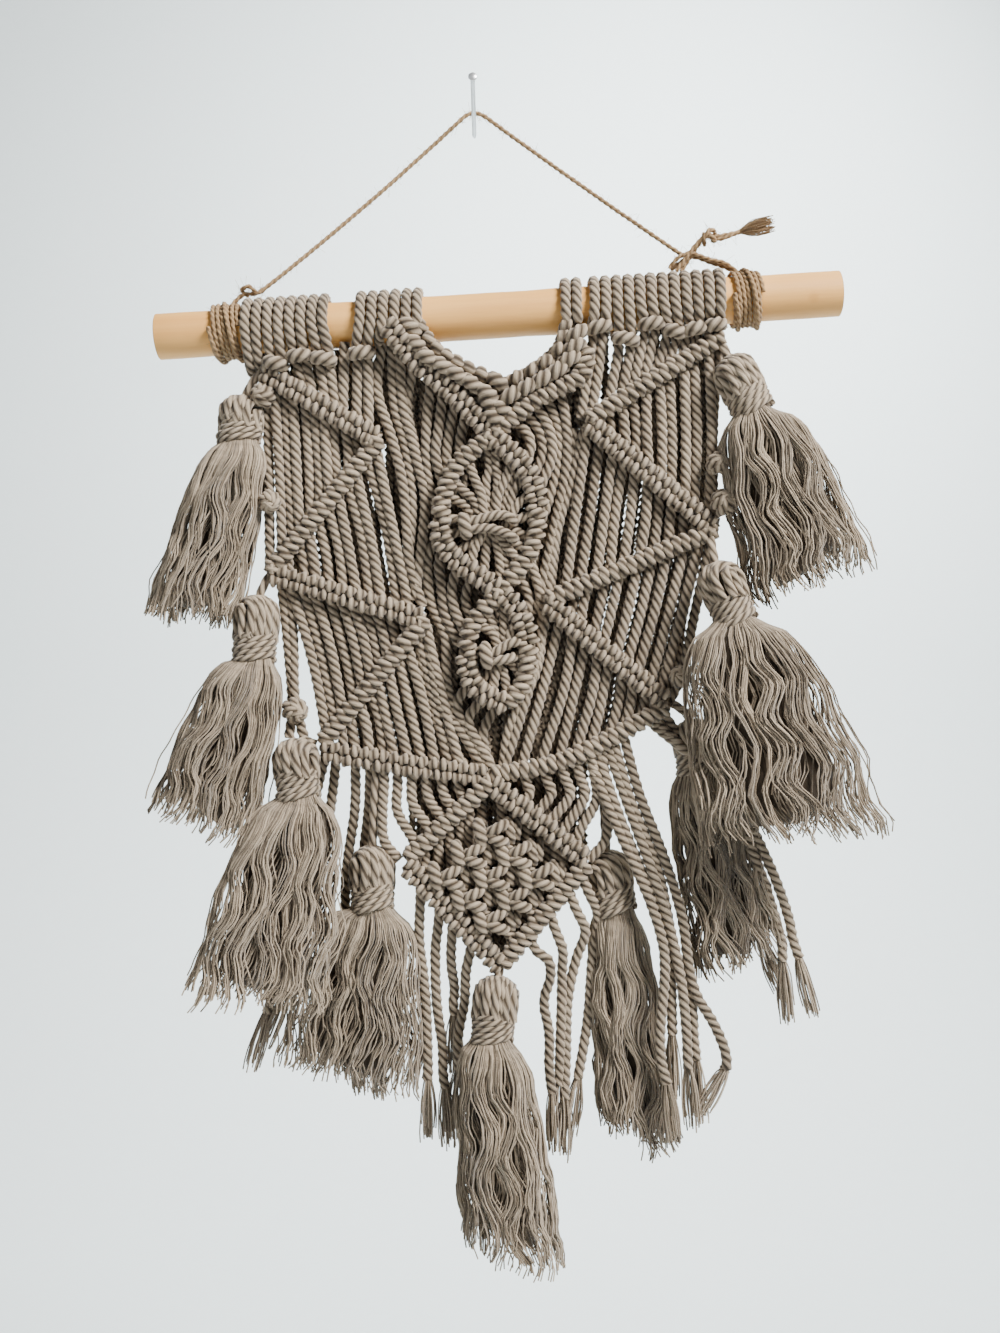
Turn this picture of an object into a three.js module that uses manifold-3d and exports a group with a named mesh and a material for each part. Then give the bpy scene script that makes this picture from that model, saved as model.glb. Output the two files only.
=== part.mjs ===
// Macrame wall hanging: cotton rope knotted on a round wooden rod, which hangs by jute twine from a nail.
// Millimetres. +X right, +Z up, +Y into the wall, so the front faces -Y. The origin is where the nail
// enters the wall. The rope work is a net of strands and hitched bars, a small net in a diamond, the
// loose ropes below both, and nine tied tassels.
import * as THREE from "three";
import { mergeVertices } from "three/addons/utils/BufferGeometryUtils.js";
import Module from "manifold-3d";

const wasm = await Module();
wasm.setup();

// ---------------------------------------------------------------- driving sizes
const ROD_LENGTH = 300;
const ROD_RADIUS = 10;
const ROD_CENTRE = new THREE.Vector3(11, -15.5, -90.5);
const ROD_LEAN = 3.65; // degrees, right end up
const STRAND_HALF = 2; // a square strand with the section of a 4.6 mm rope
const BAR_RADIUS = 4.4; // a bar is a row of hitches round two core ropes
const BAR_SIDES = 5;
const RIDGE = 0.5; // how far a bar dips and swells
const RIDGE_PITCH = 14;
const TWINE_RADIUS = 1.1;
const CLEARANCE = 0.4; // between neighbouring solids
const NET_Y = -21; // the depth at which the zigzag bars hang
const FRONT_Y = -23; // the bars of the neck, the leaves and the diamond lie over the others' ends
const STRAND_Y = -20.5; // the strands between them run a little behind

const COTTON = new THREE.MeshStandardMaterial({ color: 0xa5988a, roughness: 0.95, metalness: 0 });
const JUTE = new THREE.MeshStandardMaterial({ color: 0xa9865c, roughness: 0.95, metalness: 0 });
const WOOD = new THREE.MeshStandardMaterial({ color: 0xe0b884, roughness: 0.6, metalness: 0 });
const STEEL = new THREE.MeshStandardMaterial({ color: 0xe6e8ea, roughness: 0.35, metalness: 0.6 });

const group = new THREE.Group();
const radians = THREE.MathUtils.degToRad;
const vector = (x, y, z) => new THREE.Vector3(x, y, z);

// ---------------------------------------------------------------- solids and joins
function solidOf(geometry) {
  const bare = geometry.clone();
  for (const name of Object.keys(bare.attributes)) {
    if (name !== "position") bare.deleteAttribute(name);
  }
  const merged = mergeVertices(bare, 1e-4);
  const mesh = new wasm.Mesh({
    numProp: 3,
    vertProperties: merged.attributes.position.array,
    triVerts: new Uint32Array(merged.index.array),
  });
  return new wasm.Manifold(mesh);
}

function join(solids) {
  return solids.reduce((whole, piece) => whole.add(piece));
}

// The largest body of a solid: a cut may leave a crumb beyond the neighbour that made it.
function largestOf(solid) {
  return solid.decompose().sort((a, b) => b.volume() - a.volume())[0];
}

function addMesh(name, solid, material) {
  const made = solid.getMesh();
  const geometry = new THREE.BufferGeometry();
  geometry.setAttribute("position", new THREE.BufferAttribute(made.vertProperties, made.numProp));
  geometry.setIndex(new THREE.BufferAttribute(made.triVerts, 1));
  const mesh = new THREE.Mesh(geometry, material);
  mesh.name = name;
  group.add(mesh);
}

// A closed skin over rings of points, each ring counterclockwise about the way the rings run.
function skin(rings) {
  const sides = rings[0].length;
  const last = (rings.length - 1) * sides;
  const faces = [];
  for (let start = 0; start < last; start += sides) {
    for (let j = 0; j < sides; j += 1) {
      const [a, b] = [start + j, start + ((j + 1) % sides)];
      faces.push(a, b, b + sides, a, b + sides, a + sides);
    }
  }
  for (let j = 1; j < sides - 1; j += 1) {
    faces.push(0, j + 1, j, last, last + j, last + j + 1);
  }
  const geometry = new THREE.BufferGeometry().setFromPoints(rings.flat());
  geometry.setIndex(faces);
  return solidOf(geometry);
}

// A square strand of rope from point to point, grown all round to make its room in a neighbour. Its
// cut end may be opened wider than the rest.
function strand(points, grow, half = STRAND_HALF, endHalf = half) {
  const last = points.length - 1;
  const rings = points.map((point, i) => {
    const before = points[Math.max(i - 1, 0)];
    const after = points[Math.min(i + 1, last)];
    const along = after.clone().sub(before).normalize();
    const side = vector(1, 0, 0).addScaledVector(along, -along.x).normalize();
    const front = along.clone().cross(side);
    const size = (i === last ? endHalf : half) + grow;
    const centre = point.clone().addScaledVector(along, grow * ((i === last) - (i === 0)));
    const corners = [[size, size], [-size, size], [-size, -size], [size, -size]];
    return corners.map(([a, b]) => centre.clone().addScaledVector(side, a).addScaledVector(front, b));
  });
  return skin(rings);
}

// A row of hitches: a tube that dips and swells along its curve, grown in the same way.
function bar(curve, grow) {
  const stations = Math.max(2, 2 * Math.round(curve.getLength() / RIDGE_PITCH));
  const frames = curve.computeFrenetFrames(stations, false);
  const rings = [];
  for (let i = 0; i <= stations; i += 1) {
    const centre = curve.getPointAt(i / stations);
    centre.addScaledVector(frames.tangents[i], grow * ((i === stations) - (i === 0)));
    const size = BAR_RADIUS + grow + (i % 2 ? RIDGE : -RIDGE);
    const spots = [];
    for (let j = 0; j < BAR_SIDES; j += 1) {
      const angle = (2 * Math.PI * j) / BAR_SIDES;
      const spot = centre.clone().addScaledVector(frames.normals[i], size * Math.cos(angle));
      spots.push(spot.addScaledVector(frames.binormals[i], size * Math.sin(angle)));
    }
    rings.push(spots);
  }
  return skin(rings);
}

// A tied knot: a small faceted ball, wider than it is tall.
const KNOT_DEPTH = 3.6;

function knot({ at, width, height }, grow = 0) {
  const ball = new THREE.SphereGeometry(1, 6, 3);
  ball.scale(width / 2 + grow, KNOT_DEPTH + grow, height / 2 + grow);
  ball.translate(...at);
  return solidOf(ball);
}

// A round cord along a smooth curve through the points.
function cord(points, radius, steps, sides) {
  const corners = [];
  for (let i = 0; i < sides; i += 1) {
    const angle = (2 * Math.PI * i) / sides;
    corners.push(new THREE.Vector2(radius * Math.cos(angle), radius * Math.sin(angle)));
  }
  const curve = new THREE.CatmullRomCurve3(points, false, "centripetal");
  const settings = { steps, extrudePath: curve, bevelEnabled: false };
  return solidOf(new THREE.ExtrudeGeometry(new THREE.Shape(corners), settings));
}

// A solid turned about an axis that runs from one point towards another; profile rows are [radius, height].
function turned(profile, sides, from, to) {
  const solid = new THREE.LatheGeometry(profile.map(([r, h]) => new THREE.Vector2(r, h)), sides);
  const along = to.clone().sub(from).normalize();
  solid.applyQuaternion(new THREE.Quaternion().setFromUnitVectors(vector(0, 1, 0), along));
  solid.translate(from.x, from.y, from.z);
  return solidOf(solid);
}

// ---------------------------------------------------------------- rod and nail
const rodAxis = vector(Math.cos(radians(ROD_LEAN)), 0, Math.sin(radians(ROD_LEAN)));
const onRod = (along) => ROD_CENTRE.clone().addScaledVector(rodAxis, along);

function addRod() {
  const half = ROD_LENGTH / 2;
  const profile = [[0, 0], [ROD_RADIUS, 0], [ROD_RADIUS, ROD_LENGTH], [0, ROD_LENGTH]];
  addMesh("rod", turned(profile, 24, onRod(-half), onRod(half)), WOOD);
}

const NAIL_RADIUS = 1;
const NAIL_HEAD_RADIUS = 1.9;
const NAIL_SHOWN = 34;
const NAIL_DRIVEN = 12;
const NAIL_RISE = 12; // degrees, head up

// A round wire nail whose point is in the wall.
function addNail() {
  const axis = vector(0, -Math.cos(radians(NAIL_RISE)), Math.sin(radians(NAIL_RISE)));
  const length = NAIL_DRIVEN + NAIL_SHOWN;
  const profile = [
    [0, 0],
    [NAIL_RADIUS, 3],
    [NAIL_RADIUS, length - 1.2],
    [NAIL_HEAD_RADIUS, length - 0.8],
    [NAIL_HEAD_RADIUS, length],
    [0, length],
  ];
  const point = axis.clone().multiplyScalar(-NAIL_DRIVEN);
  addMesh("nail", turned(profile, 10, point, axis), STEEL);
}

// ---------------------------------------------------------------- twine hanger
// From the left lashing up over the nail, close to the wall, and down to the right lashing.
const TWINE_ROUTE = [
  [-94.5, -13.4, -80],
  [-83, -12.1, -70.4],
  [-71.5, -10.8, -60.5],
  [-60, -9.5, -50.4],
  [-48.5, -8.2, -40],
  [-37, -6.8, -29.5],
  [-26, -5.6, -19.1],
  [-15.5, -4.4, -9.1],
  [-6.8, -3.4, -0.6],
  [-3.4, -3.1, 2.4],
  [0, -3, 3.5],
  [3.6, -3.1, 2.6],
  [7.4, -3.5, -0.1],
  [17, -4.7, -7.6],
  [28, -6.1, -16],
  [39, -7.5, -24.4],
  [50, -9, -32.7],
  [61, -10.4, -41],
  [72, -11.8, -49.1],
  [83, -13.2, -57.2],
  [93.2, -14.5, -64.6],
];
const TWINE_STEPS = 40;
const TWINE_SIDES = 6;

function addTwine() {
  const points = TWINE_ROUTE.map((row) => vector(...row));
  addMesh("hanging_twine", cord(points, TWINE_RADIUS, TWINE_STEPS, TWINE_SIDES), JUTE);
}

const LASHING_TURNS = 6;
const LASHING_PITCH = 2.1;
const LASHING_SIDES = 9;
const END_SIDES = 5;
const LEFT_LASHING = -125.2; // first turn, along the rod from its middle
const RIGHT_LASHING = 102;

// Six turns of twine side by side round the rod, as one ridged sleeve.
function lashing(first) {
  const inner = (ROD_RADIUS + CLEARANCE) / Math.cos(Math.PI / LASHING_SIDES);
  const outer = inner + 2 * TWINE_RADIUS;
  const length = LASHING_TURNS * LASHING_PITCH;
  const profile = [[inner, 0]];
  for (let i = 0; i < LASHING_TURNS; i += 1) {
    profile.push([outer - 0.7, i * LASHING_PITCH], [outer, (i + 0.5) * LASHING_PITCH]);
  }
  profile.push([outer - 0.7, length], [inner, length], [inner, 0]);
  return turned(profile, LASHING_SIDES, onRod(first), onRod(first + length));
}

const LEFT_LEAD = [
  [-95.4, -13.7, -80.3],
  [-101.5, -14.2, -81.2],
  [-106, -15, -85.5],
];
const RIGHT_LEAD = [
  [95, -16.8, -63.6],
  [104, -15.6, -66],
  [110.5, -15.2, -67.4],
  [117, -15, -72],
];
const TIE = [
  [92.5, -16, -68],
  [96, -17, -63.5],
  [101, -18, -57],
  [107, -18, -57],
  [118, -18, -54.3],
];
const TIE_KNOT = { at: [103.5, -18, -56.7], width: 6, height: 5 };
const TIE_FRAY = [[116, -18, -54.7], [132, -18, -51.5]];
const FRAY_RADIUS = 3.8;

function addLashings() {
  const lead = cord(LEFT_LEAD.map((row) => vector(...row)), TWINE_RADIUS, 4, END_SIDES);
  addMesh("lashing_left", join([lashing(LEFT_LASHING), lead]), JUTE);
  const [frayStart, frayEnd] = TIE_FRAY.map((row) => vector(...row));
  const length = frayEnd.distanceTo(frayStart);
  const fray = [[0, 0], [TWINE_RADIUS * 1.2, 0], [FRAY_RADIUS, length], [0, length]];
  const pieces = [
    lashing(RIGHT_LASHING),
    cord(RIGHT_LEAD.map((row) => vector(...row)), TWINE_RADIUS, 6, END_SIDES),
    cord(TIE.map((row) => vector(...row)), TWINE_RADIUS, 8, END_SIDES),
    knot(TIE_KNOT),
    turned(fray, 6, frayStart, frayEnd),
  ];
  addMesh("lashing_right", join(pieces), JUTE);
}

// ---------------------------------------------------------------- bars of hitches
const leaf = (bends) => bends.map(([x, z]) => [x, FRONT_Y, z]);

// The bends [x, y, z] of each bar, from its first hitch to its last.
const BARS = {
  left1: [[-92, NET_Y, -116.5], [-41, NET_Y, -146.5]],
  left2: [[-41, NET_Y, -146.5], [-89, NET_Y, -204.5]],
  left3: [[-89, NET_Y, -204.5], [-21, NET_Y, -224.5]],
  left4: [[-21, NET_Y, -224.5], [-66, NET_Y, -278.5]],
  left5: [[-66, NET_Y, -281.5], [-30, NET_Y, -287.5], [7, NET_Y, -292.5]],
  right1: [[108, NET_Y, -101.5], [49, NET_Y, -138.5]],
  right2: [[49, NET_Y, -138.5], [105, NET_Y, -185.5]],
  right3: [[105, NET_Y, -185.5], [31, NET_Y, -216.5]],
  right4: [[31, NET_Y, -216.5], [84, NET_Y, -260.5]],
  right5: [[84, NET_Y, -262.5], [40, NET_Y, -285.5], [7, NET_Y, -292.5]],
  neckLeft: [[-37, -30.5, -98.5], [-25, FRONT_Y, -112.5], [-8, FRONT_Y, -127.5], [8, FRONT_Y, -144.5]],
  neckRight: [[49, FRONT_Y, -107.5], [47, FRONT_Y, -118.5], [27, FRONT_Y, -129.5], [8, FRONT_Y, -144.5]],
  upperLeft: leaf([[8, -144.5], [-8, -159.5], [-14, -177.5], [-12, -193.5], [12, -212.5]]),
  upperRight: leaf([[8, -144.5], [24, -161.5], [28, -177.5], [25, -194.5], [12, -212.5]]),
  lowerLeft: leaf([[12, -212.5], [0, -226.5], [-3, -239.5], [1, -253.5], [14, -261.5]]),
  lowerRight: leaf([[12, -212.5], [21, -223.5], [24, -237.5], [21, -253.5], [14, -261.5]]),
  diamond1: leaf([[7, -295.5], [-29, -328.5]]),
  diamond2: leaf([[-29, -330.5], [12, -374.5]]),
  diamond3: leaf([[8, -295.5], [49, -328.5]]),
  diamond4: leaf([[49, -330.5], [12, -374.5]]),
  sinnetLeft: [[-26, -31, -96.5], [-22, -27, -106.5], [-5, -25, -117.5], [11, -25, -123.5]],
  sinnetRight: [[43, -31, -95.5], [40, -27, -106.5], [25, -25, -119.5], [11, -25, -123.5]],
};

function barCurve(name) {
  const bends = BARS[name].map((row) => vector(...row));
  return new THREE.CatmullRomCurve3(bends, false, "centripetal");
}

const barsNamed = (names, grow) => names.map((name) => bar(barCurve(name), grow));

// ---------------------------------------------------------------- heading: loops over the rod
// Runs of rope loops side by side: the first one's place along the rod, how many, their pitch, their
// bends round the rod, the bar below that they go down to, and the stretch of it that they share.
const LOOP_RUNS = [
  { first: -109.5, count: 8, pitch: 4.8, bends: 7, bar: "left1", from: 0.03, to: 0.66 },
  { first: -60, count: 2, pitch: 5, bends: 7, bar: "left1", from: 0.8, to: 0.93 },
  { first: -50, count: 2, pitch: 5, bends: 6, bar: "neckLeft", from: 0.02, to: 0.1 },
  { first: -40, count: 2, pitch: 5, bends: 6, bar: "sinnetLeft", from: 0.02, to: 0.06 },
  { first: 29, count: 2, pitch: 4.8, bends: 6, bar: "sinnetRight", from: 0.06, to: 0.02 },
  { first: 41.5, count: 12, pitch: 4.96, bends: 7, bar: "right1", from: 0.98, to: 0.04 },
];
const LOOP_START = -52; // degrees round the rod from its back, where a loop begins
const LOOP_TURN = 45; // degrees between the loop's bends
const LOOP_RADIUS = (ROD_RADIUS + CLEARANCE) / Math.cos(radians(LOOP_TURN / 2)) + STRAND_HALF;

// One loop: up behind the rod, over its top, down its front and on to the bar below.
function loop(along, bends, end, grow) {
  const centre = onRod(along);
  const points = [];
  for (let i = 0; i < bends; i += 1) {
    const angle = radians(LOOP_START + i * LOOP_TURN);
    const bend = vector(centre.x, centre.y, centre.z);
    bend.y += LOOP_RADIUS * Math.cos(angle);
    bend.z += LOOP_RADIUS * Math.sin(angle);
    points.push(bend);
  }
  points.push(end);
  return strand(points, grow);
}

function headingSolids(grow) {
  const solids = [];
  for (const { first, count, pitch, bends, bar: name, from, to } of LOOP_RUNS) {
    const curve = barCurve(name);
    for (let i = 0; i < count; i += 1) {
      const end = curve.getPointAt(from + ((to - from) * i) / (count - 1));
      solids.push(loop(first + i * pitch, bends, end, grow));
    }
  }
  return solids;
}

// Knots tied round pairs of ropes just under the rod.
const HEADING_KNOTS = [
  { at: [-84, -22, -113.5], width: 10, height: 6 },
  { at: [-74.5, -23, -110], width: 10.5, height: 6 },
  { at: [-64.5, -23, -111], width: 11, height: 6 },
  { at: [-50.5, -23, -109.5], width: 12, height: 5.5 },
  { at: [55, -28, -96.5], width: 11, height: 7 },
  { at: [66, -25, -102.5], width: 11.5, height: 6.5 },
  { at: [76.5, -28, -95.5], width: 11, height: 6.5 },
  { at: [85, -27, -99], width: 8, height: 6 },
  { at: [95, -27, -97], width: 9.5, height: 6 },
  { at: [104, -27, -95.5], width: 9, height: 7 },
];

// ---------------------------------------------------------------- strands between the bars
// Each row: the bar above and the stretch of it that the strands leave, the bar below and the stretch
// that they reach, how many they are, and how far they bow to the right half way down.
const NET_FANS = [
  { above: "left1", from: [0.04, 0.92], below: "left2", to: [0.97, 0.12], count: 7, bow: 0 },
  { above: "left2", from: [0.91, 0.13], below: "left3", to: [0.09, 0.92], count: 7, bow: 0 },
  { above: "left3", from: [0.04, 0.92], below: "left4", to: [0.96, 0.12], count: 7, bow: 0 },
  { above: "left4", from: [0.92, 0.04], below: "left5", to: [0.08, 0.78], count: 8, bow: 0 },
  { above: "right1", from: [0.04, 0.92], below: "right2", to: [0.97, 0.09], count: 7, bow: 0 },
  { above: "right2", from: [0.92, 0.06], below: "right3", to: [0.08, 0.95], count: 7, bow: 0 },
  { above: "right3", from: [0.06, 0.92], below: "right4", to: [0.93, 0.1], count: 7, bow: 0 },
  { above: "right4", from: [0.92, 0.05], below: "right5", to: [0.05, 0.82], count: 7, bow: 0 },
  { above: "neckLeft", from: [0.5, 0.9], below: "upperLeft", to: [0.5, 0.15], count: 3, bow: -3 },
  { above: "neckRight", from: [0.55, 0.9], below: "upperRight", to: [0.5, 0.15], count: 3, bow: 4 },
  { above: "neckLeft", from: [0.3, 0.42], below: "left3", to: [0.94, 0.99], count: 2, bow: 0 },
  { above: "neckRight", from: [0.12, 0.4], below: "right3", to: [0.99, 0.96], count: 2, bow: 0 },
  { above: "upperLeft", from: [0.5, 0.8], below: "left5", to: [0.97, 0.84], count: 2, bow: -12 },
  { above: "upperRight", from: [0.6, 0.85], below: "right5", to: [0.86, 0.96], count: 2, bow: 10 },
];

function fanSolids(fans, grow) {
  const solids = [];
  for (const { above, from, below, to, count, bow } of fans) {
    const [upper, lower] = [barCurve(above), barCurve(below)];
    for (let i = 0; i < count; i += 1) {
      const share = i / (count - 1);
      const start = upper.getPointAt(from[0] + (from[1] - from[0]) * share);
      const end = lower.getPointAt(to[0] + (to[1] - to[0]) * share);
      const middle = start.clone().lerp(end, 0.5);
      middle.x += bow;
      for (const point of [start, middle, end]) point.y = STRAND_Y;
      solids.push(strand(bow ? [start, middle, end] : [start, end], grow));
    }
  }
  return solids;
}

// Small knots on the outermost strands, by which the tassels are tied on.
const SIDE_KNOTS = [
  { at: [-89.5, -20, -172.5], width: 8, height: 8 },
  { at: [-74, -20, -264.5], width: 9, height: 9 },
  { at: [106, -20, -158.5], width: 8, height: 8 },
  { at: [90, -20, -249.5], width: 9, height: 8 },
];

// ---------------------------------------------------------------- the two leaves' fillings
// Ropes crossing in the middle [x, z] of each leaf, how far they reach, and the knot on the crossing.
const FLOWERS = [
  { middle: [8, -178.5], reach: [17, 26], ropes: 4, knot: [22, 9] },
  { middle: [10, -237.5], reach: [11, 18], ropes: 3, knot: [12, 12] },
];

function flowerSolids(grow) {
  const solids = [];
  for (const { middle: [x, z], reach: [across, up], ropes, knot: [width, height] } of FLOWERS) {
    for (let i = 0; i < ropes; i += 1) {
      const angle = (Math.PI * (i + 0.5)) / ropes;
      const [dx, dz] = [across * Math.cos(angle), up * Math.sin(angle)];
      const ends = [vector(x + dx, NET_Y, z + dz), vector(x - dx, NET_Y, z - dz)];
      solids.push(strand(ends, grow));
    }
    solids.push(knot({ at: [x, NET_Y - 2, z], width, height }, grow));
  }
  return solids;
}

const NET_BARS = Object.keys(BARS).filter((name) => !/5$|^diamond/.test(name));

function netSolids(grow) {
  return [
    ...headingSolids(grow),
    ...fanSolids(NET_FANS, grow),
    ...barsNamed(NET_BARS, grow),
    ...flowerSolids(grow),
    ...[...HEADING_KNOTS, ...SIDE_KNOTS].map((row) => knot(row, grow)),
  ];
}

// ---------------------------------------------------------------- lower bars and their loose ropes
// Each row: the bar and the place on it where the rope leaves, its knee and its cut end.
const BOTTOM_ROPES = [
  { from: "left5", at: 0.05, knee: [-76, -9, -337.5], end: [-99, -6, -425.5] },
  { from: "left5", at: 0.12, knee: [-68, -9, -337.5], end: [-93, -6, -415.5] },
  { from: "left5", at: 0.22, knee: [-57, -8, -342.5], end: [-50, -7, -433.5] },
  { from: "left5", at: 0.31, knee: [-50, -8, -342.5], end: [-42, -6, -437.5] },
  { from: "right5", at: 0.05, knee: [98, -8, -317.5], end: [138, -5, -390.5] },
  { from: "right5", at: 0.12, knee: [91, -8, -327.5], end: [147, -5, -393.5] },
  { from: "right5", at: 0.19, knee: [86, -27, -337.5], end: [109, -27, -425.5] },
  { from: "right5", at: 0.26, knee: [80, -27, -337.5], end: [98, -27, -429.5] },
  { from: "right5", at: 0.33, knee: [74, -27, -342.5], end: [90, -27, -443.5] },
  { from: "right5", at: 0.4, knee: [68, -27, -342.5], end: [81, -27, -435.5] },
  { from: "right5", at: 0.47, knee: [62, -27, -342.5], end: [73, -27, -449.5] },
];
const DIAMOND_ROPES = [
  { from: "diamond2", at: 0.14, knee: [-26, -17, -369.5], end: [-22, -17, -442.5] },
  { from: "diamond2", at: 0.32, knee: [-20, -17, -377.5], end: [-15, -17, -445.5] },
  { from: "diamond2", at: 0.5, knee: [-13, -13, -382.5], end: [-9, -10, -417.5] },
  { from: "diamond2", at: 0.7, knee: [-4, -17, -387.5], end: [0, -12, -449.5] },
  { from: "diamond4", at: 0.14, knee: [49, -15, -372.5], end: [50, -13, -449.5] },
  { from: "diamond4", at: 0.36, knee: [43, -16, -379.5], end: [42, -14, -459.5] },
  { from: "diamond4", at: 0.56, knee: [36, -16, -385.5], end: [34, -12, -452.5] },
  { from: "diamond4", at: 0.76, knee: [28, -14, -389.5], end: [26, -8, -422.5] },
];
const FRAY_LENGTH = 16;
const FRAY_HALF = 3.2;

function looseRopes(rows, grow) {
  return rows.map(({ from, at, knee, end }) => {
    const [start, bend, low] = [barCurve(from).getPointAt(at), vector(...knee), vector(...end)];
    const fray = low.clone().lerp(bend, FRAY_LENGTH / low.distanceTo(bend));
    return strand([start, bend, fray, low], grow, STRAND_HALF, FRAY_HALF);
  });
}

const fringeSolids = (grow) => [...barsNamed(["left5", "right5"], grow), ...looseRopes(BOTTOM_ROPES, grow)];

// ---------------------------------------------------------------- the diamond and its small net
const DIAMOND_FANS = [
  { above: "left5", from: [0.62, 0.9], below: "diamond1", to: [0.85, 0.25], count: 4, bow: 0 },
  { above: "right5", from: [0.62, 0.9], below: "diamond3", to: [0.85, 0.25], count: 4, bow: 0 },
  { above: "diamond1", from: [0.88, 0.12], below: "diamond2", to: [0.1, 0.86], count: 4, bow: 0 },
  { above: "diamond3", from: [0.12, 0.88], below: "diamond4", to: [0.86, 0.1], count: 4, bow: 0 },
];
const SQUARE_KNOTS = [
  { row: 0, count: 1 },
  { row: 1, count: 2 },
  { row: 2, count: 3 },
  { row: 3, count: 2 },
  { row: 4, count: 1 },
];
const KNOT_PITCH = [19.4, 9.4]; // across and down
const TOP_KNOT = [8.5, -317];

function squareKnots(grow) {
  const solids = [];
  for (const { row, count } of SQUARE_KNOTS) {
    for (let i = 0; i < count; i += 1) {
      const x = TOP_KNOT[0] + KNOT_PITCH[0] * (i - (count - 1) / 2);
      const at = [x, NET_Y - 3, TOP_KNOT[1] - KNOT_PITCH[1] * row];
      solids.push(knot({ at, width: 11, height: 8.5 }, grow));
    }
  }
  return solids;
}

function diamondSolids(grow) {
  const bars = barsNamed(["diamond1", "diamond3"], grow);
  return [...bars, ...fanSolids(DIAMOND_FANS, grow), ...squareKnots(grow)];
}

function diamondFringeSolids(grow) {
  return [...barsNamed(["diamond2", "diamond4"], grow), ...looseRopes(DIAMOND_ROPES, grow)];
}

// ---------------------------------------------------------------- tassels
// Each tassel is tied to the net at a point; top and neck are the ends of its head, and end is the
// middle of its skirt's cut edge, where wide and deep are the half sizes and tilt is how much lower
// the left side hangs than the right.
const TASSELS = [
  {
    name: "left_top", tied: [-92, -21, -116.5], top: [-100, -20, -126.5], neck: [-102, -22, -148.5],
    end: [-123, -22, -225.5], wide: 20, deep: 15, tilt: 0,
  },
  {
    name: "left_middle", tied: [-88, -21, -204.5], top: [-93, -23, -213.5], neck: [-95, -25, -243.5],
    end: [-118, -25, -313.5], wide: 21, deep: 15, tilt: -16,
  },
  {
    name: "left_low", tied: [-69, -21, -278.5], top: [-76, -25, -285.5], neck: [-75, -29, -302.5],
    end: [-93, -36, -388.5], wide: 30, deep: 13, tilt: -4,
  },
  {
    name: "left_inner", tied: [-42, -21, -285.5], top: [-44, -20, -322.5], neck: [-44, -20, -351.5],
    end: [-55, -15, -427.5], wide: 33, deep: 8, tilt: -12,
  },
  {
    name: "bottom", tied: [12, -23, -373.5], top: [11, -25, -381.5], neck: [8, -29, -406.5],
    end: [18, -28, -499.5], wide: 22, deep: 17, tilt: -8,
  },
  {
    name: "right_top", tied: [107, -21, -102.5], top: [110, -25, -110.5], neck: [122, -27, -136.5],
    end: [146, -25, -209.5], wide: 27, deep: 17, tilt: 16,
  },
  {
    name: "right_middle", tied: [103, -21, -185.5], top: [103, -32, -200.5], neck: [112, -40, -227.5],
    end: [135, -42, -317.5], wide: 40, deep: 15, tilt: 8,
  },
  {
    name: "right_low", tied: [86, -21, -260.5], top: [97, -12, -267.5], neck: [99, -15, -291.5],
    end: [118, -15, -375.5], wide: 20, deep: 8, tilt: 10,
  },
  {
    name: "right_inner", tied: [56, -21, -278.5], top: [58, -14, -325.5], neck: [63, -14, -353.5],
    end: [73, -12, -455.5], wide: 17, deep: 8, tilt: -10,
  },
];
const HEAD_RADIUS = 9.6;
const HEAD_SIDES = 6;
const HEAD_PROFILE = [ // radius as a share of the head's, and place from its top (0) to the neck (1)
  [0, 0],
  [0.95, 0.18],
  [0.75, 0.5],
  [1, 0.75],
  [0.85, 1],
  [0, 1],
];
const TIE_DEPTH = 0.3; // how far down inside the head its tie ends
const NECK_RADIUS = 4.6;
const SHOULDER = 0.4; // the smaller, the rounder a skirt swells out under its neck
const LOCK_SHAPE = [ // place along the skirt, width as a share of the widest, thickness
  { share: -0.06, width: 0.28, thick: 1.6 },
  { share: 0.14, width: 0.7, thick: 2.4 },
  { share: 0.45, width: 0.88, thick: 2.8 },
  { share: 1, width: 1, thick: 3 },
];
const LOCK_RINGS = [ // a ring of locks: how many, its size as a share of the skirt's, half width, turn
  { count: 7, size: 0.9, half: 5.8, turn: 0.25 },
  { count: 2, size: 0.35, half: 3.4, turn: 0.5 },
];

// The point of a skirt at a share of its length, on the ring of the given size, at an angle round it.
function skirtPoint({ neck, end, wide, deep, tilt }, share, angle, size) {
  const spread = Math.max(share, 0) ** SHOULDER;
  const middle = vector(...neck).lerp(vector(...end), share);
  middle.x += THREE.MathUtils.lerp(NECK_RADIUS, wide * size, spread) * Math.cos(angle);
  middle.y -= THREE.MathUtils.lerp(NECK_RADIUS, deep * size, spread) * Math.sin(angle);
  middle.z += (tilt / 2) * spread * Math.cos(angle);
  return middle;
}

// A lock of opened yarns: a three-sided strip that widens towards its cut end.
function lock(tassel, angle, size, half) {
  const outward = vector(Math.cos(angle), -Math.sin(angle), 0);
  const sideways = vector(-outward.y, outward.x, 0);
  const rings = LOCK_SHAPE.map(({ share, width, thick }) => {
    const centre = skirtPoint(tassel, share, angle, size);
    return [
      centre.clone().addScaledVector(sideways, half * width),
      centre.clone().addScaledVector(sideways, -half * width),
      centre.clone().addScaledVector(outward, -thick),
    ];
  });
  return skin(rings);
}

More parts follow.
